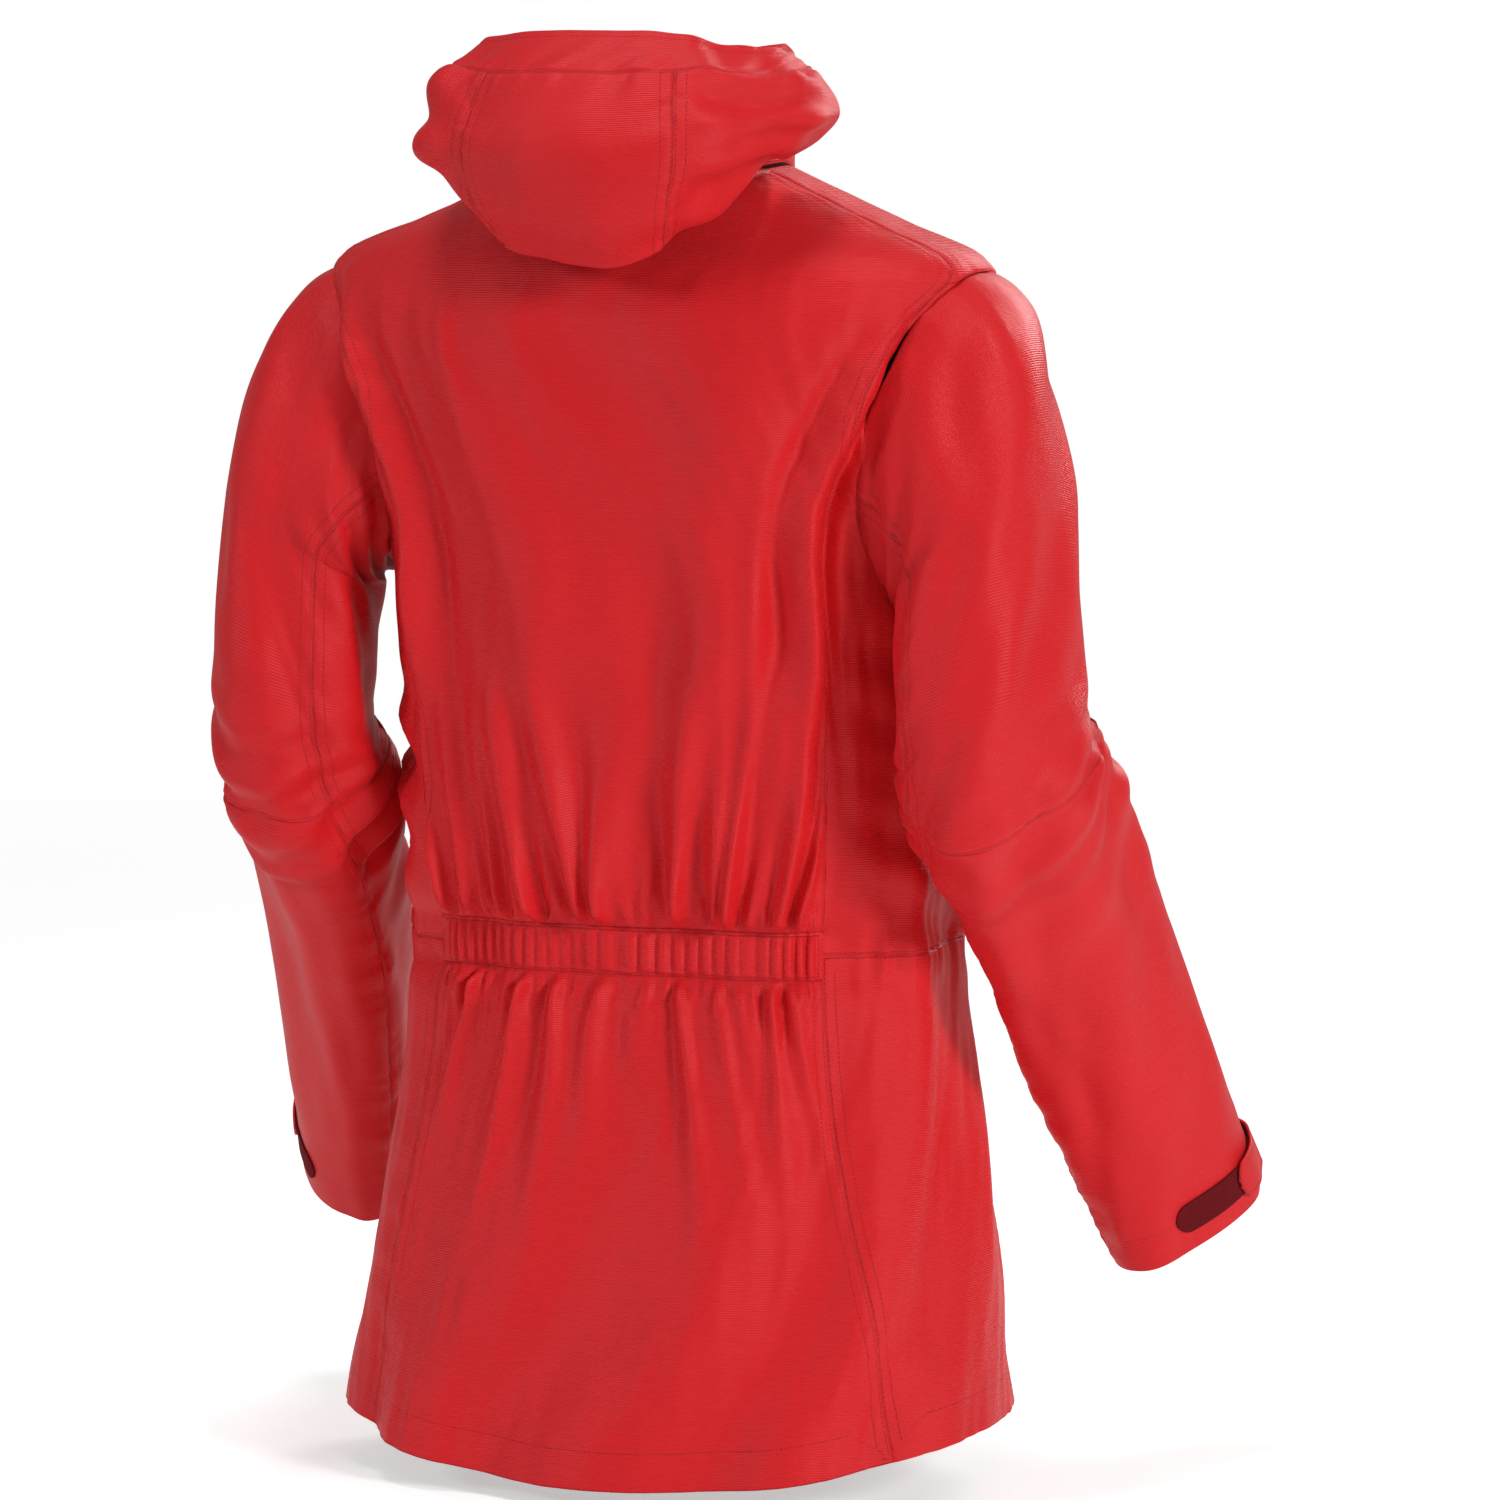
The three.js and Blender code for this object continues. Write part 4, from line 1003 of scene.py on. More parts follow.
class JACKET_OT_sides(bpy.types.Operator):
    """Makes the side panels below and above the waist"""

    bl_idname = "jacket.sides"
    bl_label = "Side panels"

    def execute(self, context):
        for side in SIDES:
            self.lower(side)
            self.upper(side)
        return {"FINISHED"}

    def lower(self, side):
        def left(h):
            return side_seam(h) + seam_angle(h, pocket_gap(h))

        def right(h):
            return back_seam(h) - seam_angle(h)

        angle, h = grid_of(0.0, WAIST + 0.0006, left, right, 0.0034, 0.0030, 0.22)
        rows = {"a": (0.024, -1), "b": (0.0022, -1), "c": (0.0022, 0.016), "d": DOUBLE}
        body_piece(
            f"side_lower_{side}_cloth", f"side_panel_lower_{side}", swap(side, angle), h, "bcd", rows,
            pucker=1.0, tuck=TUCK,
        )

    def upper(self, side):
        """A panel that wraps round the lower part of the armhole."""
        low = WAIST - 0.0003
        heights = np.array([0.7425, 0.725, 0.70, 0.67, 0.615, 0.56, 0.505, 0.45, 0.397, WAIST_TOP, low])
        turns = np.array([22.5, 46, 66, 84, 110, 125, 135, 142, 148, 153, 157])
        up = np.linspace(heights[0], low, 150)
        up_turns = np.interp(-up, -heights, turns)
        angles = np.linspace(back_seam(low), side_seam(low), 62)[1:-1]
        low_turns = np.interp(-angles, [-49, -35, -20, -5, 10, 25, 38], [157, 163, 170, 178, 187, 195, 203])
        heights = np.array([low, WAIST_TOP, 0.40, 0.48, 0.56, 0.60, 0.64, 0.67, 0.70, 0.72, 0.737])
        turns = np.array([203, 207, 212, 218, 230, 241, 264, 276, 293, 309, 331.5])
        down = np.linspace(low, heights[-1], 150)
        down_turns = np.interp(down, heights, turns)
        outer_h = np.concatenate([up, np.full(len(angles), low), down])
        behind, before = back_seam(up) - seam_angle(up), side_seam(down) + seam_angle(down)
        outer_angle = np.concatenate([behind, angles, before])
        outer_angle[-4:] = np.linspace(outer_angle[-4], side_seam(0.741) + 0.6, 4)
        inner_angle, inner_h = armhole(np.concatenate([up_turns, low_turns, down_turns]), -0.0003)
        u = spaced(0.16, 0.0032)[:, None]
        angle = mix(inner_angle, outer_angle, u)
        h = mix(inner_h, outer_h, u)
        body_piece(
            f"side_upper_{side}_cloth", f"side_panel_upper_{side}", swap(side, angle), h, "ab",
            {"b": (0.0020, -1), "a": OFF}, pucker=0.7, tuck=TUCK,
        )


def pocket_gap(h):
    """Half of the opening along the pocket's zip, and the plain seam's gap elsewhere."""
    opened = smooth(h, 0.121, 0.127) * (1 - smooth(h, 0.297, 0.303))
    return mix(SEAM, 0.0045, opened)


class JACKET_OT_fronts(bpy.types.Operator):
    """Makes the two front panels and the shoulder yokes"""

    bl_idname = "jacket.fronts"
    bl_label = "Front panels and yokes"

    def execute(self, context):
        for side in SIDES:
            self.front(side)
            self.yoke(side)
        return {"FINISHED"}

    def front(self, side):
        def left(h):
            return front_angle(0.0065, h)

        def right(h):
            return side_seam(h) - seam_angle(h, pocket_gap(h))

        angle, h = grid_of(0.0, NECK, left, right, 0.0034, 0.0030, 0.22)
        rows = {"a": (0.024, -1), "c": (0.0035, 0.0115), "d": (0.0022, -1), "b": SINGLE}
        body_piece(f"front_{side}_cloth", f"front_panel_{side}", swap(side, angle), h, "bcd", rows, pucker=0.8)

    def yoke(self, side):
        """A panel from the top of the armhole to the neck, drawn out to the seams on both sides of it."""
        u, v = spaced(0.06, 0.0026)[:, None], spaced(0.10, 0.0026)[None, :]
        low_angle, low_h = armhole(mix(-28.5, 22.5, np.clip((v - 0.1) / 0.8, 0, 1)), -0.0003)
        low_angle = mix(low_angle, side_seam(0.741) + 0 * v, np.clip(1 - v / 0.1, 0, 1))
        low_angle = mix(low_angle, back_seam(0.7425) + 0 * v, np.clip((v - 0.9) / 0.1, 0, 1))
        low_h = low_h - 0.0015 * np.clip(1 - v / 0.1, 0, 1)
        h = mix(low_h, NECK, u)
        angle = mix(low_angle, mix(-23.9, 17.3, v), u)
        angle = angle + (side_seam(h[:, :1]) - 0.2 - angle[:, :1]) * (1 - smooth(v, 0.0, 0.3))
        angle = angle + (back_seam(h[:, -1:]) + 0.2 - angle[:, -1:]) * smooth(v, 0.7, 1.0)
        rows = {"c": DOUBLE, "d": DOUBLE, "a": OFF}
        body_piece(
            f"yoke_{side}_cloth", f"shoulder_yoke_{side}", swap(side, angle), h, "abcd", rows,
            pucker=0.7, tuck=TUCK,
        )


class JACKET_OT_sleeves(bpy.types.Operator):
    """Makes both sleeves: an outer and an under half above and below each elbow"""

    bl_idname = "jacket.sleeves"
    bl_label = "Sleeves"

    def execute(self, context):
        halves = {
            "outer": (FRONT_TURN - 360 - HALVES_LAP, BACK_TURN + HALVES_LAP, 0.235),
            "under": (BACK_TURN - HALVES_LAP, FRONT_TURN + HALVES_LAP, 0.135),
        }
        for side in SIDES:
            seed = 11 if side == "left" else 111
            for half, (low, high, width) in halves.items():
                turn = mix(low, high, spaced(width, 0.0026))[None, :]
                u = spaced(UPPER_LENGTH, 0.0026)[:, None]
                self.part(side, half, "sleeve", turn, u, upper_surface, seed)
                self.part(side, half, "forearm", turn, u * 1.0023 - 0.0023, fore_surface, seed)
        return {"FINISHED"}

    def part(self, side, half, level, turn, u, surface, seed):
        m = make_materials()
        points = surface(turn, u + 0 * turn, seed)
        low_along = ELBOW_AT * smooth(u, 0.3, 1.0) if level == "sleeve" else mix(ELBOW_AT, 1, u)
        middle = arm_point(low_along + 0 * turn)
        points, middle = points * [SIDES[side], 1, 1], middle * [SIDES[side], 1, 1]
        offset = 0.0 if level == "sleeve" else UPPER_LENGTH
        grain = (np.radians(turn) * 0.055 + 0 * u, u * UPPER_LENGTH + offset + 0 * turn)
        rows = {"c": DOUBLE if half == "under" else OFF, "d": DOUBLE if half == "outer" else OFF}
        if level == "sleeve":
            rows["b"] = (0.0022, -1)
            bend = ("shell", f"upper_sleeve_{side}", self.at(side, 0), self.at(side, 1))
        else:
            rows["b"] = (0.024, -1)
            down = arm_down(ELBOW_AT)
            ends = [ELBOW, ELBOW + 0.075 * down]
            bend = (f"upper_sleeve_{side}", f"forearm_{side}", *[tuple(e * [SIDES[side], 1, 1]) for e in ends])
        seams = "abcd" if level == "sleeve" else "acd"
        name = f"{level}_{half}_{side}_cloth"
        tuck = TUCK if half == "under" or level == "forearm" else 0.0
        both = [m["shell"], m["lining"]]
        obj = cloth_piece(name, points, middle, both, seams, rows, pucker=1.4, grain=grain, tuck=tuck)
        dress(obj, [f"{level}_{half}_{side}"], bend=bend)

    def at(self, side, end):
        """A point on one slanting line, for where the cloth would start or stop bending with a raised arm; the
        cloth is not bent with it.
        """
        way = np.array([0.8, 0.0, -0.6])
        return tuple(way * (0.268, 0.350)[end] * [SIDES[side], 1, 1])


class JACKET_OT_cuffs(bpy.types.Operator):
    """Makes the cuff facings, loop patches and closing tabs"""

    bl_idname = "jacket.cuffs"
    bl_label = "Cuffs"

    def execute(self, context):
        m = make_materials()
        for side in SIDES:
            seed = 11 if side == "left" else 111
            flip = np.array([SIDES[side], 1, 1])

            def patch(turns, along, width, length, sunk, step=0.002):
                turn = mix(*turns, spaced(width, step))[None, :]
                u = mix(*along, spaced(length, step))[:, None]
                return fore_surface(turn, u, seed, sunk) * flip

            inside = arm_point(0.97) * flip
            facing = patch((-100, 259), (0.925, 0.997), 0.29, 0.026, 0.0022)
            obj = cloth_piece(
                f"cuff_facing_{side}_cloth", facing, inside, [m["lining"]], "", {"a": (0.003, -1)}, pucker=0
            )
            dress(obj, [f"cuff_facing_{side}"], f"forearm_{side}")
            loops = patch((-78, 24), (0.90, 0.962), 0.085, 0.022, -0.0013, 0.0012)
            loops = rounded_ends(loops, 0.010)
            rows = {"c": (0.0015, -1), "d": (0.0015, -1)}
            obj = cloth_piece(
                f"loop_patch_{side}_cloth", loops, inside, [m["fuzz"]], "", rows, thickness=0.0012, pucker=0
            )
            dress(obj, [f"cuff_loop_patch_{side}"], f"forearm_{side}")
            tab = patch((-122, -22), (0.892, 0.972), 0.085, 0.028, -0.0042, 0.0012)
            tab = rounded_ends(tab, 0.008, only_last=True)
            obj = cloth_piece(
                f"cuff_tab_{side}_cloth", tab, inside, [m["shell"], m["lining"]], "c",
                {"a": (0.0022, -1), "b": (0.0022, -1), "d": (0.0022, -1), "c": (0.0022, 0.006)},
                thickness=0.0016, pucker=0.4,
            )
            dress(obj, [f"cuff_tab_{side}"], f"cuff_tab_{side}")
        return {"FINISHED"}


def rounded_ends(points, radius, only_last=False):
    """Draws the last columns of a strip, and the first unless told otherwise, in to a round end."""
    rows, columns = points.shape[:2]
    middle = points[rows // 2 : rows // 2 + 1]
    d = np.linalg.norm(np.diff(points[rows // 2], axis=0), axis=-1)
    run = np.concatenate([[0], np.cumsum(d)])
    from_end = run[-1] - run if only_last else np.minimum(run, run[-1] - run)
    k = np.clip(1 - from_end / radius, 0, 1)
    keep = np.sqrt(1 - (0.985 * k) ** 2)[None, :, None]
    return middle + (points - middle) * keep


class JACKET_OT_collar(bpy.types.Operator):
    """Makes the collar, its lining and the facing inside the neck"""

    bl_idname = "jacket.collar"
    bl_label = "Collar"

    def execute(self, context):
        m = make_materials()
        edge = -90 + math.degrees(math.asin((0.0068 / NECK_HALF) ** 1.075))
        v, u = spaced(0.42, 0.0028)[None, :], spaced(0.073, 0.0026)[:, None]
        angle = mix(edge, 180 - edge, v) + 0 * u
        inside = np.array([0, -0.067, 0.03])
        points = collar_base(angle, u + 0 * v)
        x = np.radians(angle) * 0.08
        away = unit(points * [1, 1, 0] - inside * [1, 1, 0])
        lift = 0.0018 * billow(x, u * 0.07, 0.06, 0.06, 81) + 0.0006 * ripple(x + 0.02 * u, 0.03, 82)
        points = points + away * (lift * smooth(v, 0, 0.05) * (1 - smooth(v, 0.95, 1)))[..., None]
        rows = {"b": (0.0030, -1), "a": (0.0022, -1), "c": (0.0035, 0.0115), "d": (0.0035, 0.0115)}
        grain = (x, u * 0.073 + 0 * v)
        obj = cloth_piece("collar_cloth", points, inside, [m["shell"], m["lining"]], "acd", rows, grain=grain)
        dress(obj, ["collar_outer"], "shell")
        lined = collar_base(mix(edge + 9, 180 - edge - 9, v) + 0 * u, mix(0.03, 0.965, u) + 0 * v)
        lined = lined - unit(lined * [1, 1, 0] - inside * [1, 1, 0]) * 0.0028
        obj = cloth_piece("collar_lining_cloth", lined, inside, [m["lining"]], "", {"b": (0.003, -1)}, pucker=0)
        dress(obj, ["collar_lining"], "shell")
        angle = mix(28, 152, spaced(0.36, 0.004))[None, :]
        h = mix(0.705, NECK - 0.004, spaced(0.10, 0.004))[:, None] + 0 * angle
        facing = body_surface(angle, h, 0.0042)
        inside = inside - [0, 0, 0.1]
        obj = cloth_piece("neck_facing_cloth", facing, inside, [m["lining"]], "", {"a": (0.004, -1)})
        dress(obj, ["neck_facing"], "shell")
        return {"FINISHED"}


class JACKET_OT_hood(bpy.types.Operator):
    """Makes the lowered hood: three panels, a stitched rim, its lining and the strip to the neck"""

    bl_idname = "jacket.hood"
    bl_label = "Hood"

    def execute(self, context):
        m = make_materials()
        both = [m["shell"], m["lining"]]
        spans = {
            "side_left": (0.0, 61.25, 0.13),
            "centre_panel": (60.75, 119.25, 0.14),
            "side_right": (118.75, 180.0, 0.13),
        }
        for name, (low, high, width) in spans.items():
            round_ = mix(low, high, spaced(width, 0.0022))[None, :]
            rise = mix(0.03, HOOD_RIM, spaced(0.125, 0.0022))[:, None] + 0 * round_
            edges = {"side_left": "bd", "centre_panel": "bcd", "side_right": "bc"}[name]
            rows = {e: DOUBLE for e in edges if e != "b"}
            self.panel(f"hood_{name}_cloth", f"hood_{name}", round_, rise, both, edges, rows)
        round_ = mix(0, 180, spaced(0.36, 0.0022))[None, :]
        rise = mix(HOOD_RIM - 0.004, 1, spaced(0.027, 0.0013))[:, None] + 0 * round_
        rows = {"a": (0.0022, -1), "b": (0.0050, -1)}
        self.panel("hood_rim_cloth", "hood_rim", round_, rise, both, "a", rows, 0.0016)
        self.lining(m)
        self.nape(m)
        return {"FINISHED"}

    def panel(self, name, node, round_, rise, materials, seams, rows, thickness=CLOTH):
        tuck = TUCK if "a" in seams or "bcd" in seams else 0.0
        points = hood_surface(round_, rise)
        inside = points * [0.0, 0.0, 1.0] + [0, -0.01, 0]
        grain = (np.radians(round_) * 0.12 + 0 * rise, rise * 0.16)
        obj = cloth_piece(name, points, inside, materials, seams, rows, thickness, 1.3, grain, tuck=tuck)
        dress(obj, [node], "hood")

    def lining(self, m):
        round_ = mix(1, 179, spaced(0.32, 0.004))[None, :]
        rise = mix(0.08, 0.985, spaced(0.14, 0.004))[:, None] + 0 * round_
        points = hood_surface(round_, rise, 0.0035)
        inside = points * [0.0, 0.0, 1.0] + [0, -0.01, 0]
        obj = cloth_piece("hood_lining_cloth", points, inside, [m["lining"]], "", {"b": (0.004, -1)}, pucker=0)
        dress(obj, ["hood_lining"], "hood")

    def nape(self, m):
        round_ = mix(14, 166, spaced(0.26, 0.003))[None, :]
        u = spaced(0.026, 0.0016)[:, None]
        c, s = np.cos(np.radians(round_)), np.sin(np.radians(round_))
        start = np.stack([(NECK_HALF + 0.005) * power(c, 0.9), -0.067 + 0.088 * s**0.9, 0.010 - 0.006 * s], -1)
        height = np.stack([0 * c, 0 * c, 0.010 - 0.010 * s], -1)
        end = hood_surface(round_, 0.04 + 0 * round_) * [1, 1, 0] + height
        end = mix(start, end, 0.86)
        points = mix(start, end, u[..., None])
        points[..., 2] -= 0.005 * np.sin(math.pi * u) * s
        both = [m["shell"], m["lining"]]
        obj = cloth_piece("hood_nape_cloth", points, np.array([0, 0, -0.2]), both, "ab", {"a": (0.002, -1)})
        dress(obj, ["hood_nape"], bend=("shell", "hood", (0, 0.012, 0), (0, 0.040, 0)))


class JACKET_OT_inner_trim(bpy.types.Operator):
    """Makes the hem facing, the elastic, the pocket bags and the placket behind the zip"""

    bl_idname = "jacket.inner_trim"
    bl_label = "Inner trim"

    def execute(self, context):
        m = make_materials()
        inside = np.array([0, -0.1, -0.6])
        h = mix(0.0015, 0.0245, spaced(0.023, 0.003))[:, None]
        edge = front_angle(0.024, h)
        angle = mix(edge, 180 - edge, spaced(0.95, 0.003)[None, :])
        self.strip("hem_facing", angle, h + 0 * angle, 0.0018, m["lining"], "lining", inside)
        angle = mix(back_seam(WAIST) + 1, 179 - back_seam(WAIST), spaced(0.26, 0.0015))[None, :]
        h = mix(WAIST_LOW + 0.003, WAIST_TOP - 0.003, spaced(0.024, 0.002))[:, None] + 0 * angle
        self.strip("waist_elastic", angle, h, 0.0026, m["elastic"], "elastic", inside, "stretched")
        for side in SIDES:
            angle = mix(-74, -31, spaced(0.13, 0.004))[None, :]
            h = mix(0.096, 0.296, spaced(0.20, 0.004))[:, None] + 0 * angle
            self.strip(f"pocket_bag_{side}", swap(side, angle), h, 0.0125, m["lining"], "lining", inside)
        z = np.linspace(low_of("storm_placket").z, high_of("storm_placket").z, 160)[:, None]
        x = np.linspace(-0.017, 0.017, 24)[None, :]
        deep = 0.0058 + 0.0006 * ripple(z + 0 * x, 0.05, 91)
        points = np.stack([x + 0 * z, front_y(z - HEM_Z) + deep + 0 * x, z + 0 * x], -1)
        rows = {"c": (0.003, -1), "d": (0.003, -1)}
        obj = cloth_piece("placket_cloth", points, points + [0, 0.1, 0], [m["lining"]], "", rows)
        dress(obj, ["storm_placket"], "shell")
        return {"FINISHED"}

    def strip(self, node, angle, h, sunk, material, slot, inside, held="hung"):
        points = body_surface(angle, h, sunk)
        points_in = points * 0.3 + inside * 0.7
        rows = {"a": (0.003, -1), "b": (0.003, -1)}
        grain = (half_width(h) * np.radians(angle), section_z(angle, h))
        obj = cloth_piece(f"{node}_cloth", points, points_in, [material], "", rows, grain=grain, pucker=0)
        dress(obj, [node], "shell")


def line_frame(low, high, out):
    """Up along a zip, out from the jacket and across it, from its two ends."""
    up = unit(np.asarray(high, float) - np.asarray(low, float))
    out = unit(out - up * np.dot(out, up))
    return up, out, np.cross(out, up)


def coil_strip(name, low, high, out, x0, x1, material, centre_groove=False):
    """A row of coil turns as one ridged bar on a flat base, its turns 2 mm apart."""
    up, out, across = line_frame(low, high, out)
    length = float(np.linalg.norm(np.asarray(high) - np.asarray(low)))
    rows = max(8, int(length / 0.0004))
    t = np.linspace(0, length, rows)[:, None]
    v = np.linspace(0, 1, 11)[None, :]
    x = mix(x0, x1, v)
    arch = np.sqrt(np.clip(1 - (2 * v - 1) ** 2, 0, 1))
    turn = np.abs(np.sin(math.pi * t / 0.002)) ** 0.7
    if centre_groove:
        arch = arch * (1 - 0.5 * bump(v, 0.5, 0.09))
        turn = np.abs(np.sin(math.pi * (t + 0.001 * (v > 0.5)) / 0.002)) ** 0.7
    rise = arch * (0.0009 + 0.0009 * turn) - 0.0014 * ((v == 0) | (v == 1))
    points = np.asarray(low, float) + up * t[..., None] + across * (x + 0 * t)[..., None] + out * rise[..., None]
    facing = np.cross(np.gradient(points, axis=0), np.gradient(points, axis=1))
    obj = grid_mesh(name, points, np.sum(facing * out, -1).mean() < 0, {})
    obj.data.materials.append(material)
    solid = obj.modifiers.new("Thickness", "SOLIDIFY")
    solid.thickness, solid.offset = 0.0006, -1
    return obj


def tape_strip(name, low, high, out, x0, x1, depth, material):
    """A flat woven tape beside a zip, its weave across the zip."""
    up, out, across = line_frame(low, high, out)
    length = float(np.linalg.norm(np.asarray(high) - np.asarray(low)))
    t, v = spaced(length, 0.003, False)[:, None] * length, np.linspace(0, 1, 14)[None, :]
    x = mix(x0, x1, v)
    points = np.asarray(low, float) + up * t[..., None] + across * (x + 0 * t)[..., None] - out * depth
    grain = (x + 0 * t, t + 0 * x)
    edge = "c" if abs(x0) > abs(x1) else "d"
    rows = {edge: (0.004, -1)}
    obj = cloth_piece(name, points, points - out, [material], "", rows, thickness=0.0008, pucker=0, grain=grain)
    return obj, points


class JACKET_OT_zips(bpy.types.Operator):
    """Makes the tapes and coils of the front zip and the two pocket zips, and finishes their metal parts"""

    bl_idname = "jacket.zips"
    bl_label = "Zips"

    def execute(self, context):
        m = make_materials()
        out = np.array([0.0, -1.0, 0.0])
        low_z, high_z = low_of("zip_coil_left").z, high_of("zip_coil_left").z
        low = np.array([0, front_y(low_z - HEM_Z) + 0.0015, low_z])
        high = np.array([0, front_y(high_z - HEM_Z) + 0.0015, high_z])
        for side in SIDES:
            k = SIDES[side]
            span = sorted((0.0002 * k, 0.0031 * k))
            coil = coil_strip(f"coil_{side}", low, high, out, *span, m["coil"])
            self.keep(coil, [f"zip_coil_{side}"], "zip_coil")
            reach = sorted((0.0006 * k, 0.0130 * k))
            tape, points = tape_strip(f"tape_{side}_cloth", low, high, out, *reach, 0.0024, m["tape"])
            dress(tape, [f"zip_tape_{side}"], "shell")
            self.pocket(side, m)
        metal = ["main_slider", "main_pull", "zip_bottom_stop"]
        metal += [f"{part}_{side}" for part in ("pocket_slider", "pocket_pull") for side in SIDES]
        for node in metal + ["hanger_loop"]:
            slots = frame["nodes"][node].data.materials
            slots.clear()
            slots.append(m["elastic" if node == "hanger_loop" else "metal"])
        return {"FINISHED"}

    def pocket(self, side, m):
        joint = {j["name"]: j for j in frame["joints"]}
        up = -np.array(joint[f"pocket_slider_{side}"]["axis"])
        across = np.array(joint[f"pocket_pull_{side}"]["axis"])
        out = np.cross(across, up)
        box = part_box(f"pocket_zip_coil_{side}")
        centre = np.array((box[0] + box[1]) / 2)
        out = out * np.sign(np.dot(out, centre - [0, -0.09, centre[2]]))
        half = (box[1].z - box[0].z) / 2 / up[2]
        low, high = centre - up * half, centre + up * half
        coil = coil_strip(f"pocket_coil_{side}", low, high, out, -0.0031, 0.0031, m["coil"], True)
        self.keep(coil, [f"pocket_zip_coil_{side}"], "zip_coil")
        name = f"pocket_tape_{side}_cloth"
        past_ends = up * 0.005
        tape, points = tape_strip(
            name, low - past_ends, high + past_ends, out, -0.0125, 0.0125, 0.0026, m["tape"]
        )
        dress(tape, [f"pocket_zip_tape_{side}"], "shell")

    def keep(self, obj, nodes, slot):
        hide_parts(*nodes)
        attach(obj, "shell")


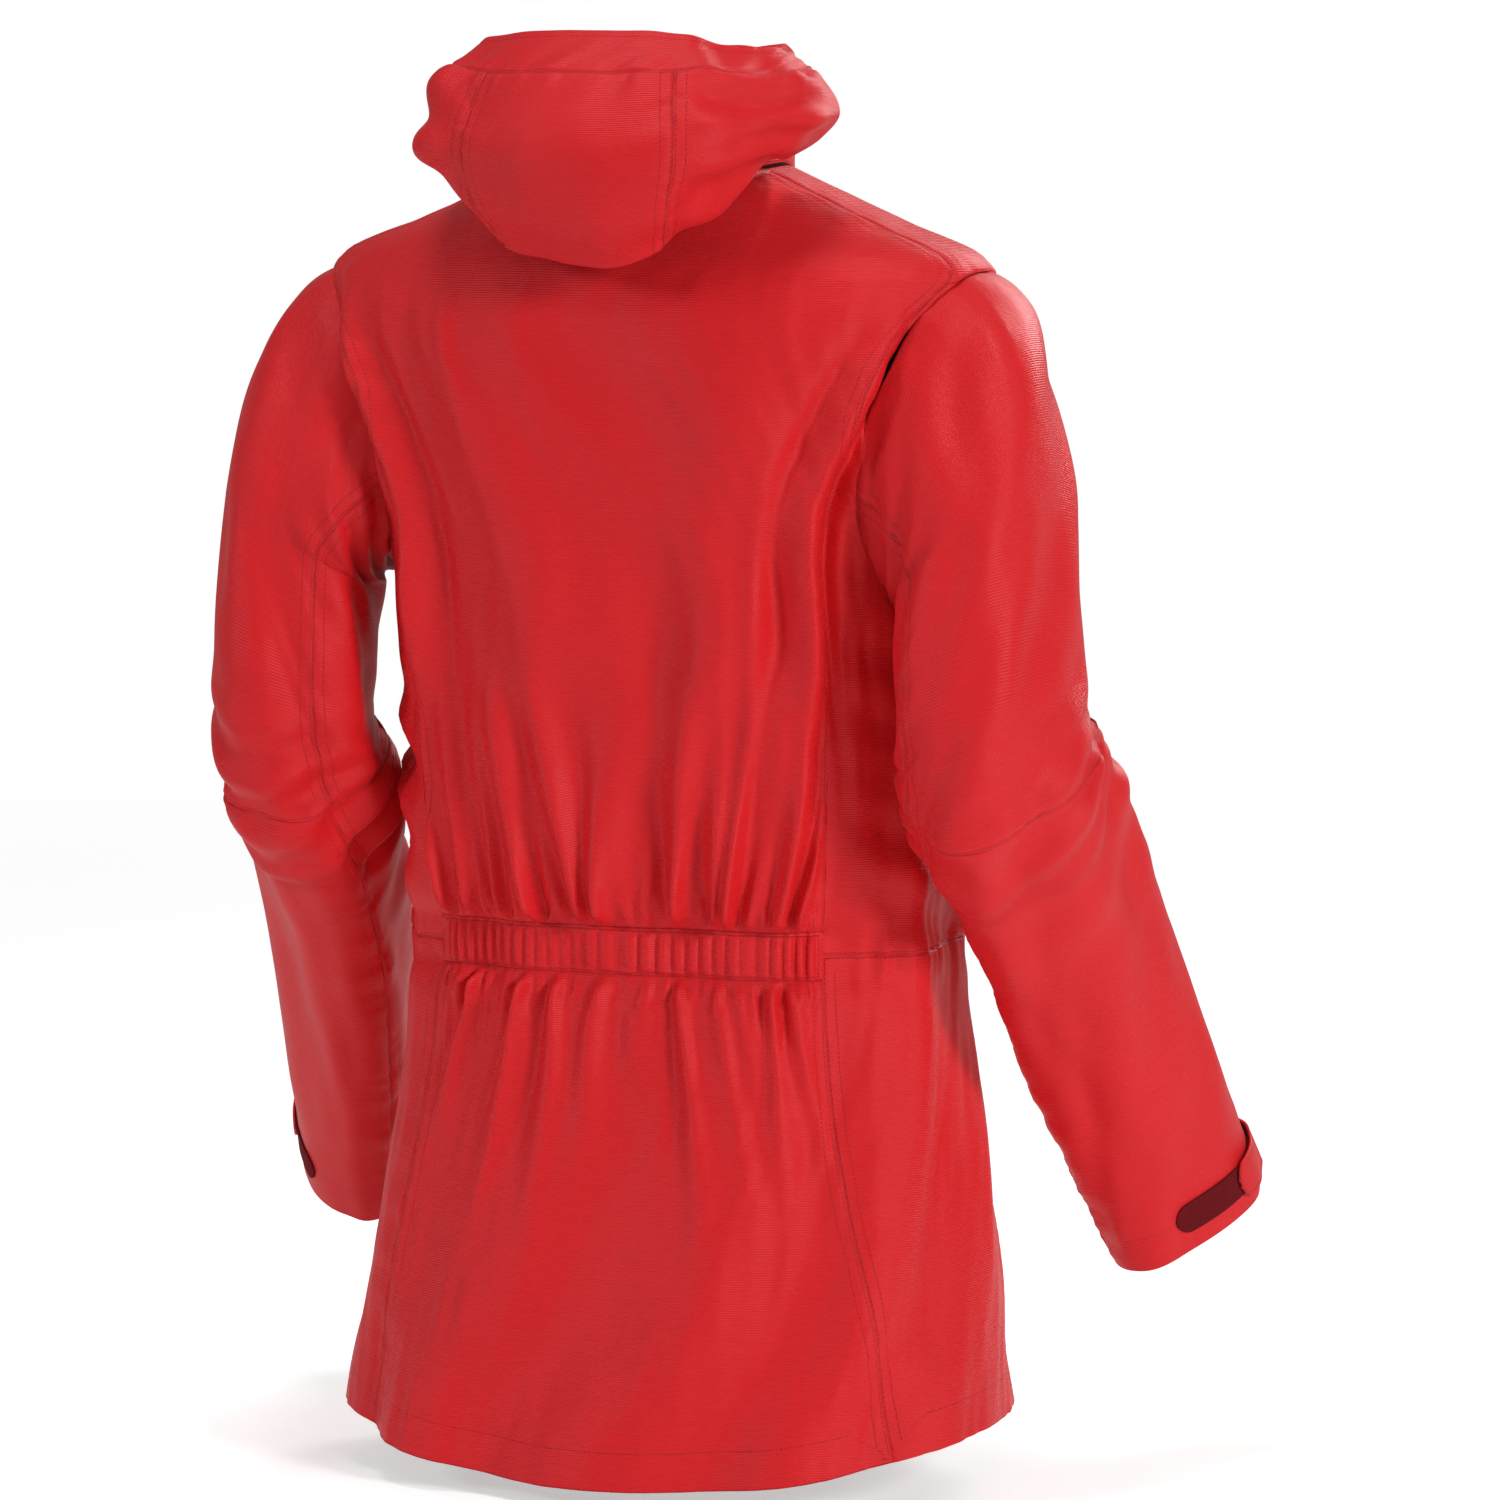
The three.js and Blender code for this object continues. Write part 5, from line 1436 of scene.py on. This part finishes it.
class JACKET_OT_stage(bpy.types.Operator):
    """Makes the pale floor, the soft lights, the sky and the camera"""

    bl_idname = "jacket.stage"
    bl_label = "Stage"

    def execute(self, context):
        self.floor()
        self.world()
        self.lights()
        self.camera()
        context.scene.view_settings.view_transform = "Standard"
        return {"FINISHED"}

    def floor(self):
        bm = bmesh.new()
        bmesh.ops.create_grid(bm, x_segments=1, y_segments=1, size=40.0)
        bmesh.ops.translate(bm, verts=bm.verts, vec=(0, 0, frame_bounds[0][2] - 0.012))
        mesh = bpy.data.meshes.new("floor")
        bm.to_mesh(mesh)
        bm.free()
        obj = bpy.data.objects.new("floor", mesh)
        bpy.context.scene.collection.objects.link(obj)
        material, tree, shader = new_material(
            "Pale floor", Roughness=0.9, Specular_IOR_Level=0.0, Emission_Strength=1.0
        )
        place = tree.node("ShaderNodeTexCoord").outputs["Object"]
        away = tree.node("ShaderNodeVectorMath", {0: place}, operation="LENGTH").outputs["Value"]
        near = tree.band(away, 1.1, 4.2)
        tree.put(shader.inputs["Base Color"], grey(tree, tree.math("MULTIPLY", near, 0.92)))
        seen = tree.node("ShaderNodeLightPath").outputs["Is Camera Ray"]
        bright = tree.math("MULTIPLY_ADD", near, -0.52, 1.0)
        lit = tree.math("MULTIPLY", bright, tree.math("MULTIPLY_ADD", seen, 0.75, 0.25))
        tree.put(shader.inputs["Emission Color"], grey(tree, lit))
        mesh.materials.append(material)

    def world(self):
        world = bpy.data.worlds.new("Studio")
        bpy.context.scene.world = world
        world.use_nodes = True
        tree = Tree(world.node_tree)
        background = world.node_tree.nodes["Background"]
        background.inputs["Color"].default_value = (1, 1, 1, 1)
        seen = tree.node("ShaderNodeLightPath").outputs["Is Camera Ray"]
        tree.put(background.inputs["Strength"], tree.math("MULTIPLY_ADD", seen, 0.81, 0.19))

    def lights(self):
        target = Vector((0, -0.06, -0.35))
        for name, place, size, power, colour in (
            ("key", (-3.2, 1.5, 0.9), 1.0, 66, (1, 0.98, 0.97)),
            ("side", (2.6, 2.6, 1.2), 0.9, 30, (0.98, 0.99, 1)),
            ("front", (-1.0, -3.4, 1.4), 1.6, 50, (1, 1, 1)),
            ("top", (0.1, 0.3, 2.8), 1.0, 30, (1, 1, 1)),
        ):
            data = bpy.data.lights.new(name, "AREA")
            data.shape, data.size, data.energy, data.color = "DISK", size, power, colour
            obj = bpy.data.objects.new(name, data)
            obj.location = place
            obj.rotation_mode = "QUATERNION"
            obj.rotation_quaternion = (target - Vector(place)).to_track_quat("-Z", "Y")
            bpy.context.scene.collection.objects.link(obj)

    def camera(self):
        data = bpy.data.cameras.new("camera")
        data.lens, data.sensor_width = 174.0, 36.0
        data.clip_start, data.clip_end = 0.1, 100
        camera = bpy.data.objects.new("camera", data)
        target = Vector((-0.056, -0.0705, -0.352))
        back = Vector((-0.3564, 0.9285, 0.1045)).normalized()
        camera.location = target + back * 4.5
        camera.rotation_mode = "QUATERNION"
        camera.rotation_quaternion = (-back).to_track_quat("-Z", "Y")
        bpy.context.scene.collection.objects.link(camera)
        bpy.context.scene.camera = camera


class JACKET_PT_build(bpy.types.Panel):
    """Lists the jacket's settings and the steps that make it"""

    bl_idname = "JACKET_PT_build"
    bl_label = "Hardshell jacket"
    bl_space_type = "VIEW_3D"
    bl_region_type = "UI"
    bl_category = "Jacket"

    def draw(self, context):
        look = context.scene.jacket_look
        for name in look.bl_rna.properties.keys():
            if name not in ("name", "rna_type"):
                self.layout.prop(look, name)
        for operator in STEPS:
            self.layout.operator(operator.bl_idname)


STEPS = (
    JACKET_OT_stage,
    JACKET_OT_back,
    JACKET_OT_sides,
    JACKET_OT_fronts,
    JACKET_OT_sleeves,
    JACKET_OT_cuffs,
    JACKET_OT_collar,
    JACKET_OT_hood,
    JACKET_OT_zips,
    JACKET_OT_inner_trim,
)
CLASSES = (JacketLook, *STEPS, JACKET_PT_build)


def register():
    for item in CLASSES:
        bpy.utils.register_class(item)
    bpy.types.Scene.jacket_look = bpy.props.PointerProperty(type=JacketLook)


def unregister():
    del bpy.types.Scene.jacket_look
    for item in reversed(CLASSES):
        bpy.utils.unregister_class(item)


def main():
    register()
    bpy.ops.jacket.stage()
    bpy.ops.jacket.back()
    bpy.ops.jacket.sides()
    bpy.ops.jacket.fronts()
    bpy.ops.jacket.sleeves()
    bpy.ops.jacket.cuffs()
    bpy.ops.jacket.collar()
    bpy.ops.jacket.hood()
    bpy.ops.jacket.zips()
    bpy.ops.jacket.inner_trim()


if __name__ == "__main__":
    main()
